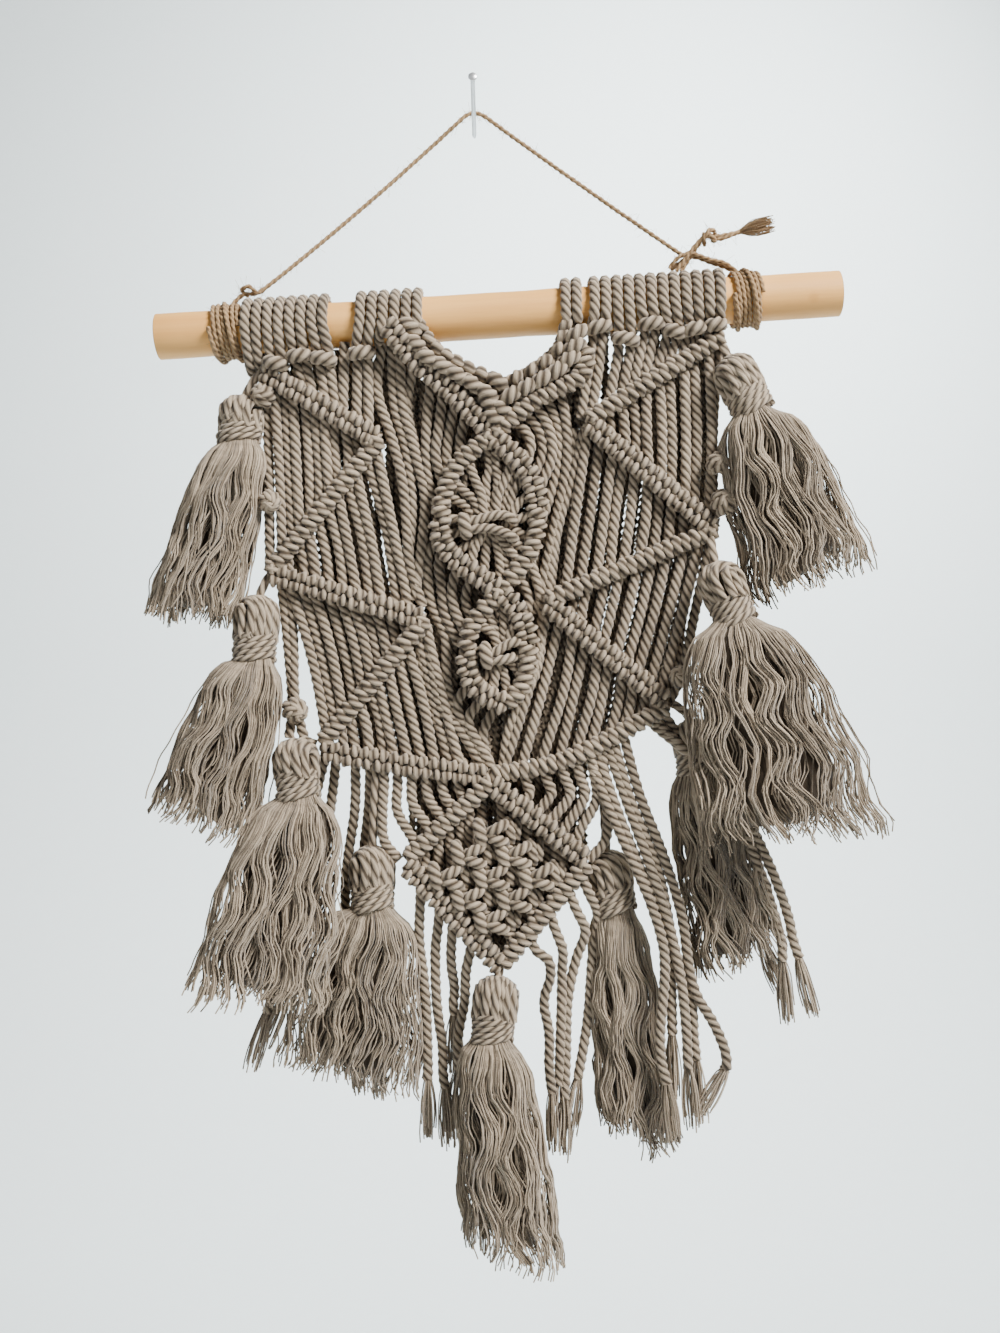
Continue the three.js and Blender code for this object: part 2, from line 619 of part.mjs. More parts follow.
function tasselSolid(tassel) {
  const [tied, top, neck] = [tassel.tied, tassel.top, tassel.neck].map((row) => vector(...row));
  const length = top.distanceTo(neck);
  const profile = HEAD_PROFILE.map(([r, h]) => [r * HEAD_RADIUS, h * length]);
  const inHead = top.clone().lerp(neck, TIE_DEPTH);
  const pieces = [turned(profile, HEAD_SIDES, top, neck), strand([tied, inHead], 0)];
  for (const { count, size, half, turn } of LOCK_RINGS) {
    for (let i = 0; i < count; i += 1) {
      pieces.push(lock(tassel, (2 * Math.PI * (i + turn)) / count, size, half));
    }
  }
  return join(pieces);
}

// ---------------------------------------------------------------- assembly
addRod();
addNail();
addTwine();
addLashings();

// Each piece of rope work is cut clear of the one it hangs from.
const fringeRoom = join(fringeSolids(CLEARANCE));
const lowerBarsRoom = join(barsNamed(["left5", "right5"], CLEARANCE));
const diamondBarsRoom = join(barsNamed(["diamond2", "diamond4"], CLEARANCE));
addMesh("net", largestOf(join(netSolids(0)).subtract(lowerBarsRoom)), COTTON);
addMesh("lower_fringe", join(fringeSolids(0)), COTTON);
addMesh("diamond", largestOf(join(diamondSolids(0)).subtract(fringeRoom).subtract(diamondBarsRoom)), COTTON);
addMesh("diamond_fringe", join(diamondFringeSolids(0)), COTTON);

const everyRope = [netSolids, fringeSolids, diamondSolids, diamondFringeSolids];
const ropeRoom = join(everyRope.flatMap((solids) => solids(CLEARANCE)));
for (const tassel of TASSELS) {
  addMesh(`tassel_${tassel.name}`, largestOf(tasselSolid(tassel).subtract(ropeRoom)), COTTON);
}

export default group;
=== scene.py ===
"""The looks of a macrame wall hanging on its birch rod, hung by jute twine from a nail."""
import math
import random

import bpy
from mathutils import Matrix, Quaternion, Vector


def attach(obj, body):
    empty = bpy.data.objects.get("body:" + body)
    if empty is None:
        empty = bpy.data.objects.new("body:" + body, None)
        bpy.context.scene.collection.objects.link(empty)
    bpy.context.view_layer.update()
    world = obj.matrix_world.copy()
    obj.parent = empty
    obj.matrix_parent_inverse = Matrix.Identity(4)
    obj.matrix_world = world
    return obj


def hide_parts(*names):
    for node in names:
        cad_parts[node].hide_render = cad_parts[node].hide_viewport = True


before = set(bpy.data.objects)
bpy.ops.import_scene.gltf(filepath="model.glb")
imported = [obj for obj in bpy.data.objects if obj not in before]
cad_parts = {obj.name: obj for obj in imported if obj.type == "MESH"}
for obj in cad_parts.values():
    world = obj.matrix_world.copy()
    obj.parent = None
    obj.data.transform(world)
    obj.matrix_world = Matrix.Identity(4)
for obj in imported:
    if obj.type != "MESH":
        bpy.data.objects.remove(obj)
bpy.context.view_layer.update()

# ------------------------------------------------------------------ where it is seen from
# The hanging is looked at straight on, level with its middle, from a little over half a metre. The
# picture stands upright, so the film's long side is its height.
EYE = (0.0117, -0.615, -0.2449)
HEIGHT_SEEN = 0.5866
SEEN_FROM = 0.6  # the distance at which that height is seen
FILM_HEIGHT = 36

camera = bpy.data.objects.new("camera", bpy.data.cameras.new("camera"))
camera.location = EYE
camera.rotation_euler = (math.radians(90), 0, 0)
camera.data.sensor_width = FILM_HEIGHT
camera.data.lens = FILM_HEIGHT * SEEN_FROM / HEIGHT_SEEN
bpy.context.scene.collection.objects.link(camera)
bpy.context.scene.camera = camera

# ------------------------------------------------------------------ the hanging twine
# Two-ply jute twine, knotted on at both ends of the rod and laid over the nail, close to the wall.
# It is spun from coarse golden bast, so stray fibres stand off it all along.
TWINE_ROUTE = [
    (-94.5, -13.4, -80),
    (-83, -12.1, -70.4),
    (-71.5, -10.8, -60.5),
    (-60, -9.5, -50.4),
    (-48.5, -8.2, -40),
    (-37, -6.8, -29.5),
    (-26, -5.6, -19.1),
    (-15.5, -4.4, -9.1),
    (-6.8, -3.4, -0.6),
    (-3.4, -3.1, 2.4),
    (0, -3, 3.5),
    (3.6, -3.1, 2.6),
    (7.4, -3.5, -0.1),
    (17, -4.7, -7.6),
    (28, -6.1, -16),
    (39, -7.5, -24.4),
    (50, -9, -32.7),
    (61, -10.4, -41),
    (72, -11.8, -49.1),
    (83, -13.2, -57.2),
    (93.2, -14.5, -64.6),
]
TWINE_RADIUS = 0.0011
TWINE_SIZES = {"Ring Spacing": 0.0009, "Lay Length": 0.0062, "Ply Depth": 0.34}
JUTE_PALE = (0.60, 0.41, 0.22, 1)
JUTE_DARK = (0.15, 0.08, 0.035, 1)
RELIEF_DEPTH = 0.0006
HAIR_RADIUS = 0.00006
HAIRS_ON_HANGER = 260
HANGER_HAIR = 0.0032  # the longest a stray fibre is
TONE_SEED = 11


class Socket:
    """One end of a node, which adds and multiplies like a number. With no end it only makes nodes."""

    def __init__(self, tree, end=None):
        self.tree = tree
        self.end = end

    def node(self, kind, inputs=(), output=0, **settings):
        made = self.tree.nodes.new(kind)
        for setting, value in settings.items():
            setattr(made, setting, value)
        for key, value in dict(inputs).items():
            if isinstance(value, Socket):
                self.tree.links.new(value.end, made.inputs[key])
            else:
                made.inputs[key].default_value = value
        return Socket(self.tree, made.outputs[output])

    def math(self, operation, *terms):
        return self.node("ShaderNodeMath", enumerate(terms), operation=operation)

    def __add__(self, other):
        return self.math("ADD", self, other)

    def __sub__(self, other):
        return self.math("SUBTRACT", self, other)

    def __rsub__(self, other):
        return self.math("SUBTRACT", other, self)

    def __mul__(self, other):
        return self.math("MULTIPLY", self, other)

    def __truediv__(self, other):
        return self.math("DIVIDE", self, other)

    def __rtruediv__(self, other):
        return self.math("DIVIDE", other, self)

    __radd__ = __add__
    __rmul__ = __mul__


def scaled(vector, by):
    """A vector made longer or shorter. Either of the two may be plain numbers, but not both."""
    maker = by if isinstance(by, Socket) else vector
    return maker.node("ShaderNodeVectorMath", {0: vector, "Scale": by}, operation="SCALE")


def summed(first, *others):
    for other in others:
        first = first.node("ShaderNodeVectorMath", {0: first, 1: other}, operation="ADD")
    return first


def blended(share, first, second):
    """A colour between two others, which are a Mix node's seventh and eighth inputs."""
    inputs = {"Factor": share, 6: first, 7: second}
    return share.node("ShaderNodeMix", inputs, output=2, data_type="RGBA")


def mottled(place, scale, detail=2.0):
    """Soft random patches, from 0 to 1."""
    return place.node("ShaderNodeTexNoise", {"Vector": place, "Scale": scale, "Detail": detail})


def ranged(value, low, high, first=0.0, last=1.0):
    """How far a value is from low to high, told as a number from first to last."""
    limits = {"Value": value, "From Min": low, "From Max": high, "To Min": first, "To Max": last}
    return value.node("ShaderNodeMapRange", limits)


def mm(x, y, z):
    return Vector((x, y, z)) / 1000


def length_of(line):
    return sum((far - near).length for near, far in zip(line, line[1:]))


def smooth(bends, steps):
    """Points along a centripetal Catmull-Rom curve through the bends, so many for each stretch."""
    ends = [2 * bends[0] - bends[1], *bends, 2 * bends[-1] - bends[-2]]
    points = []
    for a, b, c, d in zip(ends, ends[1:], ends[2:], ends[3:]):
        at = [0]
        for near, far in ((a, b), (b, c), (c, d)):
            at.append(at[-1] + max(math.sqrt((far - near).length), 1e-5))
        for step in range(steps):
            now = at[1] + (at[2] - at[1]) * step / steps
            ab = a.lerp(b, (now - at[0]) / (at[1] - at[0]))
            bc = b.lerp(c, (now - at[1]) / (at[2] - at[1]))
            cd = c.lerp(d, (now - at[2]) / (at[3] - at[2]))
            abc = ab.lerp(bc, (now - at[0]) / (at[2] - at[0]))
            bcd = bc.lerp(cd, (now - at[1]) / (at[3] - at[1]))
            points.append(abc.lerp(bcd, (now - at[1]) / (at[2] - at[1])))
    return [*points, bends[-1].copy()]


def open_tree(name, sizes):
    """A Geometry Nodes group that takes lines, and its inputs by name."""
    tree = bpy.data.node_groups.new(name, "GeometryNodeTree")
    tree.interface.new_socket(name="Geometry", in_out="INPUT", socket_type="NodeSocketGeometry")
    tree.interface.new_socket(name="Geometry", in_out="OUTPUT", socket_type="NodeSocketGeometry")
    for size in sizes:
        tree.interface.new_socket(name=size, in_out="INPUT", socket_type="NodeSocketFloat")
    tree.interface.new_socket(name="Material", in_out="INPUT", socket_type="NodeSocketMaterial")
    entry = tree.nodes.new("NodeGroupInput")
    return Socket(tree), {end.name: Socket(tree, end) for end in entry.outputs}


def close_tree(shape, material):
    whole = shape.node("GeometryNodeRealizeInstances", {"Geometry": shape})
    painted = shape.node("GeometryNodeSetMaterial", {"Geometry": whole, "Material": material})
    leave = shape.tree.nodes.new("NodeGroupOutput")
    shape.tree.links.new(painted.end, leave.inputs["Geometry"])
    return shape.tree


def kept(geometry, name, value, kind="FLOAT"):
    """The geometry, with a value stored on its points for the material to read."""
    inputs = {"Geometry": geometry, "Name": name, "Value": value}
    return geometry.node("GeometryNodeStoreNamedAttribute", inputs, data_type=kind, domain="POINT")


def own_tone(start):
    """A random number from 0 to 1, one for each line."""
    which = start.node("GeometryNodeCurveOfPoint", output="Curve Index")
    draw = {2: 0.0, 3: 1.0, "ID": which, "Seed": TONE_SEED}
    return start.node("FunctionNodeRandomValue", draw, output=1, data_type="FLOAT")


def swept_along(line, ring):
    """A closed tube of the ring's shape, as thick as each line's radius says."""
    radius = line.node("GeometryNodeInputRadius")
    sweep = {"Curve": line, "Profile Curve": ring, "Scale": radius, "Fill Caps": True}
    tube = line.node("GeometryNodeCurveToMesh", sweep)
    return line.node("GeometryNodeSetShadeSmooth", {"Geometry": tube})


def laid_rope(name, plies, facets):
    """The tree that lays plies round each other along every line; facets are the corners of a ply."""
    start, given = open_tree(name, ["Ring Spacing", "Lay Length", "Ply Depth"])
    spacing = {"Curve": given["Geometry"], "Length": given["Ring Spacing"]}
    line = start.node("GeometryNodeResampleCurve", spacing, mode="LENGTH")
    length = start.node("GeometryNodeSplineParameter", output="Length")
    tone = own_tone(start)
    line = kept(kept(line, "along", length), "tone", tone)
    turn = (tone - length / given["Lay Length"]) * (2 * math.pi)
    line = line.node("GeometryNodeSetCurveTilt", {"Curve": line, "Tilt": turn})
    round_ring = {"Resolution": plies * facets, "Radius": 1.0}
    ring = start.node("GeometryNodeCurvePrimitiveCircle", round_ring)
    place = start.node("GeometryNodeInputPosition")
    swell = start.math("COSINE", start.node("GeometryNodeInputIndex") * (2 * math.pi / facets))
    ring = kept(kept(ring, "ring", place, "FLOAT_VECTOR"), "swell", swell)
    lobed = scaled(place, 1.0 - given["Ply Depth"] * (1.0 - swell) * 0.5)
    ring = ring.node("GeometryNodeSetPosition", {"Geometry": ring, "Position": lobed})
    return close_tree(swept_along(line, ring), given["Material"])


def plain_yarn(name, sides):
    """The tree that sweeps every line, as it is, into one thin round yarn."""
    start, given = open_tree(name, [])
    share = start.node("GeometryNodeSplineParameter", output="Factor")
    line = kept(kept(given["Geometry"], "along", share), "tone", own_tone(start))
    ring = start.node("GeometryNodeCurvePrimitiveCircle", {"Resolution": sides, "Radius": 1.0})
    return close_tree(swept_along(line, ring), given["Material"])


def sweep(name, lines, tree, sizes, material):
    """Lines, each its points and its radius or radii, swept by a tree and left as one plain mesh."""
    guide = bpy.data.curves.new(name + "_lines", "CURVE")
    guide.dimensions = "3D"
    for points, radius in lines:
        radii = radius if isinstance(radius, list) else [radius] * len(points)
        spline = guide.splines.new("POLY")
        spline.points.add(len(points) - 1)
        spline.points.foreach_set("co", [number for point in points for number in (*point, 1)])
        spline.points.foreach_set("radius", radii)
    carrier = bpy.data.objects.new(name + "_lines", guide)
    bpy.context.scene.collection.objects.link(carrier)
    modifier = carrier.modifiers.new("sweep", "NODES")
    modifier.node_group = tree
    values = {**sizes, "Material": material}
    for item in tree.interface.items_tree:
        if item.in_out == "INPUT" and item.name in values:
            modifier[item.identifier] = values[item.name]
    shape = carrier.evaluated_get(bpy.context.evaluated_depsgraph_get())
    piece = bpy.data.objects.new(name, bpy.data.meshes.new_from_object(shape))
    bpy.context.scene.collection.objects.link(piece)
    bpy.data.objects.remove(carrier)
    bpy.data.curves.remove(guide)
    return piece


def settle(piece, slot, *nodes):
    """The piece goes with the one body, and stands for its plain nodes."""
    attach(piece, "root")
    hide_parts(*nodes)


def hairs(line, count, reach, seed, off=TWINE_RADIUS):
    """Stray fibres that curl off a line of points."""
    chance = random.Random(seed)
    found = []
    for _ in range(count):
        spot = chance.randrange(len(line) - 1)
        way = (line[spot + 1] - line[spot]).normalized()
        out = Vector([chance.gauss(0, 1) for _ in range(3)])
        out = (out - way * out.dot(way)).normalized()
        root = line[spot].lerp(line[spot + 1], chance.random()) + out * off * 0.7
        lean = (out + way * chance.uniform(-1.6, 1.6)).normalized()
        drift = Vector([chance.gauss(0, 0.35) for _ in range(3)])
        length = reach * chance.uniform(0.35, 1)
        points = [root + (lean + drift * share) * length * share for share in (0, 0.35, 0.7, 1)]
        found.append((points, HAIR_RADIUS))
    return found


def open_finish(name):
    material = bpy.data.materials.new(name)
    material.use_nodes = True
    material.node_tree.nodes.clear()
    return material, Socket(material.node_tree)


def close_finish(colour, roughness, height, relief, fixed):
    """Colour, roughness and relief from nodes, and the shader's fixed numbers on its own sockets."""
    bump = {"Height": height, "Strength": relief, "Distance": RELIEF_DEPTH}
    normal = colour.node("ShaderNodeBump", bump)
    inputs = {"Base Color": colour, "Roughness": roughness, "Normal": normal, **fixed}
    shader = colour.node("ShaderNodeBsdfPrincipled", inputs)
    leave = colour.tree.nodes.new("ShaderNodeOutputMaterial")
    colour.tree.links.new(shader.end, leave.inputs["Surface"])


def spun(name, pale, dark, depth, fixed, fibre=(5.0, 260.0), variety=0.14, shade=0.45):
    """Spun fibre: streaks that follow the plies, painted shade in the grooves between plies, fuzz, faded
    patches and a tone per strand.

    The depth is how much painted shade darkens the grooves, variety how much strands differ, and shade
    how dark the whole is. The fibre is how fine the streaks are, round a strand and along it.
    """
    material, start = open_finish(name)
    place = start.node("ShaderNodeTexCoord", output="Object")
    swell = start.node("ShaderNodeAttribute", output="Fac", attribute_name="swell")
    tone = start.node("ShaderNodeAttribute", output="Fac", attribute_name="tone")
    along = start.node("ShaderNodeAttribute", output="Fac", attribute_name="along")
    ring = start.node("ShaderNodeAttribute", output="Vector", attribute_name="ring")
    length = start.node("ShaderNodeCombineXYZ", {"Z": along * fibre[1]})
    streaks = mottled(summed(scaled(ring, fibre[0]), length), 1.0, 3.0)
    fuzz = mottled(place, 1500.0)
    faded = mottled(place, 24.0)
    # painted shade: the colour is darkened in the grooves between the plies, where shade falls
    groove_painted_shade = ranged(swell, -1.0, 0.5)
    share = groove_painted_shade * depth + streaks * 0.62 + fuzz * 0.14 + faded * 0.28 + tone * variety - shade
    share = start.node("ShaderNodeClamp", {"Value": share})
    colour = blended(share, dark, pale)
    close_finish(colour, 0.78 + streaks * 0.2, streaks * 0.7 + fuzz * 0.3, 0.8, fixed)
    return material


two_ply = laid_rope("two_ply_twine", 2, 5)
hair_tree = plain_yarn("single_fibre", 3)
# The twine's grooves between its plies are darkened with painted shade.
jute = spun("jute_fibre", JUTE_PALE, JUTE_DARK, 0.42, {"Specular IOR Level": 0.25, "Sheen Weight": 0.15})

twine_line = smooth([mm(*bend) for bend in TWINE_ROUTE], 6)
twine_hanger = sweep("twine_hanger", [(twine_line, TWINE_RADIUS)], two_ply, TWINE_SIZES, jute)
twine_hairs = hairs(twine_line, HAIRS_ON_HANGER, HANGER_HAIR, seed=3)
twine_fuzz = sweep("twine_fuzz", twine_hairs, hair_tree, {}, jute)
settle(twine_hanger, "twine", "hanging_twine")
settle(twine_fuzz, "twine", "hanging_twine")
length_of(twine_line)

# ------------------------------------------------------------------ the nail
# A bright wire nail, driven into the wall with its head raised, so that the twine stays on it.
NAIL_RADIUS = 0.001
NAIL_HEAD_RADIUS = 0.0019
NAIL_SHOWN = 0.034
NAIL_DRIVEN = 0.012
NAIL_RISE = math.radians(12)
NAIL_SIDES = 32
SHARP_EDGE = math.radians(50)
STEEL_BRIGHT = (0.80, 0.82, 0.84, 1)
STEEL_DULL = (0.52, 0.54, 0.57, 1)


def smooth_piece(name, points, faces, material):
    mesh = bpy.data.meshes.new(name)
    mesh.from_pydata(points, [], faces)
    mesh.materials.append(material)
    mesh.shade_smooth()
    piece = bpy.data.objects.new(name, mesh)
    bpy.context.scene.collection.objects.link(piece)
    return piece


def turned(name, profile, sides, start, end, material):
    """A closed mesh turned about the line from start to end; profile rows are radius and distance."""
    axis = (end - start).normalized()
    side = axis.orthogonal().normalized()
    up = axis.cross(side)
    points, faces, rings = [], [], []
    for radius, distance in profile:
        corners = 1 if radius == 0 else sides
        rings.append(range(len(points), len(points) + corners))
        for corner in range(corners):
            angle = 2 * math.pi * corner / sides
            out = side * math.cos(angle) + up * math.sin(angle)
            points.append(start + axis * distance + out * radius)
    for low, high in zip(rings, rings[1:]):
        for corner in range(sides):
            after = (corner + 1) % sides
            if len(low) == 1:
                faces.append((low[0], high[after], high[corner]))
            elif len(high) == 1:
                faces.append((high[0], low[corner], low[after]))
            else:
                faces.append((low[corner], low[after], high[after], high[corner]))
    piece = smooth_piece(name, points, faces, material)
    piece.data.set_sharp_from_angle(angle=SHARP_EDGE)
    return piece


def drawn_steel():
    """Bright drawn wire, finely scratched and a little dulled."""
    material, start = open_finish("bright_steel")
    place = start.node("ShaderNodeTexCoord", output="Object")
    dulling = mottled(place, 300.0)
    scratches = mottled(place, 2600.0, 4.0)
    colour = blended(dulling * 0.6 + scratches * 0.3, STEEL_BRIGHT, STEEL_DULL)
    close_finish(colour, 0.22 + scratches * 0.25, scratches, 0.12, {"Metallic": 0.75})
    return material


nail_axis = Vector((0, -math.cos(NAIL_RISE), math.sin(NAIL_RISE)))
nail_length = NAIL_DRIVEN + NAIL_SHOWN
nail_profile = [
    (0, 0),
    (NAIL_RADIUS * 0.35, 0.0009),
    (NAIL_RADIUS, 0.003),
    (NAIL_RADIUS, nail_length - 0.0016),
    (NAIL_RADIUS * 1.25, nail_length - 0.0011),
    (NAIL_HEAD_RADIUS * 0.94, nail_length - 0.0008),
    (NAIL_HEAD_RADIUS, nail_length - 0.0006),
    (NAIL_HEAD_RADIUS, nail_length - 0.0002),
    (NAIL_HEAD_RADIUS * 0.9, nail_length),
    (0, nail_length),
]
nail_ends = (nail_axis * -NAIL_DRIVEN, nail_axis * NAIL_SHOWN)
wire_nail = turned("wire_nail", nail_profile, NAIL_SIDES, *nail_ends, drawn_steel())
settle(wire_nail, "nail", "nail")

# ------------------------------------------------------------------ the rod
# A peeled birch stick, 20 mm thick, sawn off square and rubbed smooth. Its grain runs along it in
# faint honey streaks, with darker end grain and a few pin knots.
ROD_LENGTH = 0.3
ROD_RADIUS = 0.01
ROD_CENTRE = mm(11, -15.5, -90.5)
ROD_LEAN = math.radians(3.65)
ROD_CHAMFER = 0.0007
ROD_SIDES = 96
ROD_STATIONS = 24
ROD_SWELLS = ((0.00012, 2.3), (0.00008, 5.1))  # how high, and how far a wave turns at each station
ROD_WORN = 0.0001
SAWN_DEPTH = 0.0006
BIRCH_PALE = (0.93, 0.51, 0.15, 1)
BIRCH_HONEY = (0.68, 0.31, 0.07, 1)
BIRCH_END = (0.42, 0.22, 0.09, 1)

rod_axis = Vector((math.cos(ROD_LEAN), 0, math.sin(ROD_LEAN)))


def on_rod(along):
    return ROD_CENTRE + rod_axis * along


def peeled_birch():
    """Grain on coordinates turned to the rod, so that its streaks run along it."""
    material, start = open_finish("peeled_birch")
    place = start.node("ShaderNodeTexCoord", output="Object")
    inputs = {0: place, 1: ROD_CENTRE}
    own = start.node("ShaderNodeVectorMath", inputs, operation="SUBTRACT")
    turn = {"Vector": own, "Rotation": (0, ROD_LEAN, 0), "Scale": (1, 1, 1)}
    own = start.node("ShaderNodeMapping", turn)
    long_grain = start.node("ShaderNodeMapping", {"Vector": own, "Scale": (9, 170, 170)})
    fine_grain = start.node("ShaderNodeMapping", {"Vector": own, "Scale": (60, 1500, 1500)})
    streaks = mottled(long_grain, 1.0, 4.0)
    pores = mottled(fine_grain, 1.0, 3.0)
    cloud = mottled(own, 22.0)
    knots = start.node("ShaderNodeTexVoronoi", {"Vector": own, "Scale": 42.0})
    knot = ranged(knots, 0.05, 0.13, 1.0, 0.0)
    ends = start.node("ShaderNodeSeparateXYZ", {"Vector": own}, output="X")
    from_middle = start.math("ABSOLUTE", ends)
    sawn = ranged(from_middle, ROD_LENGTH / 2 - SAWN_DEPTH, ROD_LENGTH / 2, 0.0, 0.75)
    share = start.node("ShaderNodeClamp", {"Value": streaks * 1.1 + cloud * 0.6 + pores * 0.25 - 0.62})
    colour = blended(share, BIRCH_PALE, BIRCH_HONEY)
    colour = blended(knot * 0.5, colour, BIRCH_HONEY)
    colour = blended(sawn, colour, BIRCH_END)
    close_finish(colour, 0.42 + pores * 0.25, pores * 0.6 + streaks * 0.4, 0.22, {"Coat Weight": 0.05})
    return material


rubbed = ROD_CHAMFER * 0.3
rod_profile = [(0, 0), (ROD_RADIUS - ROD_CHAMFER, 0), (ROD_RADIUS - rubbed, rubbed)]
for station in range(ROD_STATIONS + 1):
    from_end = ROD_CHAMFER + (ROD_LENGTH - 2 * ROD_CHAMFER) * station / ROD_STATIONS
    swell = sum(high * math.sin(turn * station) for high, turn in ROD_SWELLS)
    rod_profile.append((ROD_RADIUS - ROD_WORN + swell, from_end))
rod_profile += [
    (ROD_RADIUS - rubbed, ROD_LENGTH - rubbed),
    (ROD_RADIUS - ROD_CHAMFER, ROD_LENGTH),
    (0, ROD_LENGTH),
]
rod_ends = (on_rod(-ROD_LENGTH / 2), on_rod(ROD_LENGTH / 2))
birch_rod = turned("birch_rod", rod_profile, ROD_SIDES, *rod_ends, peeled_birch())
settle(birch_rod, "rod", "rod")

# ------------------------------------------------------------------ the two lashings
# The twine is wound six times round the rod beside the outer loops, crossed over itself and tucked
# under. On the right its doubled end is knotted above the loops and left as a frayed brush.
LASHING_TURNS = 6
LASHING_SIZES = {
    "Pitch": 0.0021,
    "Turn Radius": ROD_RADIUS + TWINE_RADIUS + 0.0003,
    "Slant": 0.0007,
    "Unevenness": 0.05,
    **TWINE_SIZES,
}
CROSSING_SIZES = {**LASHING_SIZES, "Pitch": 0.0085, "Turn Radius": ROD_RADIUS + 2.5 * TWINE_RADIUS}
LEFT_ENDS = [  # the twine that leads to the lashing, and the tuft it is tied off in
    [(-92, -13.2, -78), (-95.4, -13.7, -80.3), (-101.5, -14.2, -81.2), (-106, -15, -85.5)],
    [(-95.5, -14.5, -80.5), (-98.5, -17, -78.2), (-101.8, -15.5, -79.5), (-99, -13.5, -81.5)],
]
RIGHT_ENDS = [  # two leads, the doubled end, and the knot in it
    [
        (86, -15.5, -70), (90, -17.2, -65.5), (95, -16.8, -63.6), (104, -15.6, -66), (110.5, -15.2, -67.4),
        (117, -15, -72),
    ],
    [
        (87, -13, -70), (92, -14.5, -66.4), (97, -14, -64.4), (105, -13.4, -66.8), (111, -13, -68.6),
        (118.5, -13.6, -72.5),
    ],
    [
        (89, -17, -71.5), (92.5, -17.2, -67), (96.5, -18, -61.5), (101, -18.6, -57.2), (107, -18.2, -56.6),
        (117, -18, -54.6),
    ],
    [
        (91.5, -15, -71), (94.6, -15.4, -66), (98.2, -17, -60.6), (102, -17.2, -56), (107, -18, -57.8),
        (117, -18, -54.3),
    ],
    [(101.5, -16.4, -60), (101, -19.6, -57.5), (103.5, -20, -54.2), (106, -17.6, -55), (105, -16, -58.8)],
    [(100.6, -17.5, -55.6), (103.5, -20.4, -56.8), (106, -19, -59.2)],
]
LASHINGS = [  # side, first turn along the rod from its middle, loose ends, and where an end is brushed out
    ("left", -0.1252, LEFT_ENDS, None),
    ("right", 0.102, RIGHT_ENDS, ((115.5, -18, -54.7), (132, -18, -50.5))),
]
TURN_POINTS = 18.0  # along each turn of a winding
WANDER_SCALE = 330.0
HAIRS_ON_END = 34
END_HAIR = 0.004
HAIRS_ON_TURNS = 150
HAIR_PLACES = 0.0005  # how far apart along the rod
TURNS_HAIR = 0.0036
BRUSH_FIBRES = 150
BRUSH_SPREAD = 0.0045
BRUSH_FIBRE = 0.00014
FIBRE_PARTS = 7


def wound(name, rope):
    """The tree that winds rope round every line in leaning, slightly uneven turns."""
    rope_sizes = ["Ring Spacing", "Lay Length", "Ply Depth"]
    start, given = open_tree(name, ["Pitch", "Turn Radius", "Slant", "Unevenness", *rope_sizes])
    spacing = {"Curve": given["Geometry"], "Length": given["Pitch"] / TURN_POINTS}
    line = start.node("GeometryNodeResampleCurve", spacing, mode="LENGTH")
    length = start.node("GeometryNodeSplineParameter", output="Length")
    turn = length / given["Pitch"] * (2 * math.pi)
    across, outward = start.math("SINE", turn), start.math("COSINE", turn)
    way = start.node("GeometryNodeInputTangent")
    front = (0, -1, 0)
    crossed = start.node("ShaderNodeVectorMath", {0: way, 1: front}, operation="CROSS_PRODUCT")
    side = start.node("ShaderNodeVectorMath", {0: crossed}, operation="NORMALIZE")
    wander = (mottled(start.node("GeometryNodeInputPosition"), WANDER_SCALE) - 0.5) * 4.0
    reach = given["Turn Radius"] * (1.0 + wander * given["Unevenness"])
    offset = summed(
        scaled(side, across * reach),
        scaled(front, outward * reach),
        scaled(way, across * given["Slant"] + wander * given["Pitch"] * given["Unevenness"]),
    )
    line = start.node("GeometryNodeSetPosition", {"Geometry": line, "Offset": offset})
    inputs = {size: given[size] for size in rope_sizes}
    inputs.update({"Geometry": line, "Material": given["Material"]})
    turns = start.node("GeometryNodeGroup", inputs, node_tree=rope)
    return close_tree(turns, given["Material"])


def bent(rows):
    """A smooth line through places in millimetres."""
    return smooth([mm(*row) for row in rows], 6)


def brush(start, end, count, spread, radius, seed):
    """Opened fibres that fan out from a rope's end."""
    chance = random.Random(seed)
    way = (end - start).normalized()
    side = way.orthogonal().normalized()
    up = way.cross(side)
    length = (end - start).length
    fibres = []
    for _ in range(count):
        angle, size = chance.uniform(0, 2 * math.pi), math.sqrt(chance.random())
        out = side * math.cos(angle) + up * math.sin(angle)
        reach = length * chance.uniform(0.72, 1.0)
        phase, wave = chance.uniform(0, 6.3), spread * chance.uniform(0.02, 0.12)
        points = []
        for step in range(FIBRE_PARTS + 1):
            share = step / FIBRE_PARTS
            bow = math.sin(3.1 * share) * 0.35 + share * 0.75
            sway = up * math.cos(angle) * wave * math.sin(phase + 9 * share)
            points.append(start + way * reach * share + out * (spread * size * bow + radius) + sway)
        fibres.append((points, radius))
    return fibres


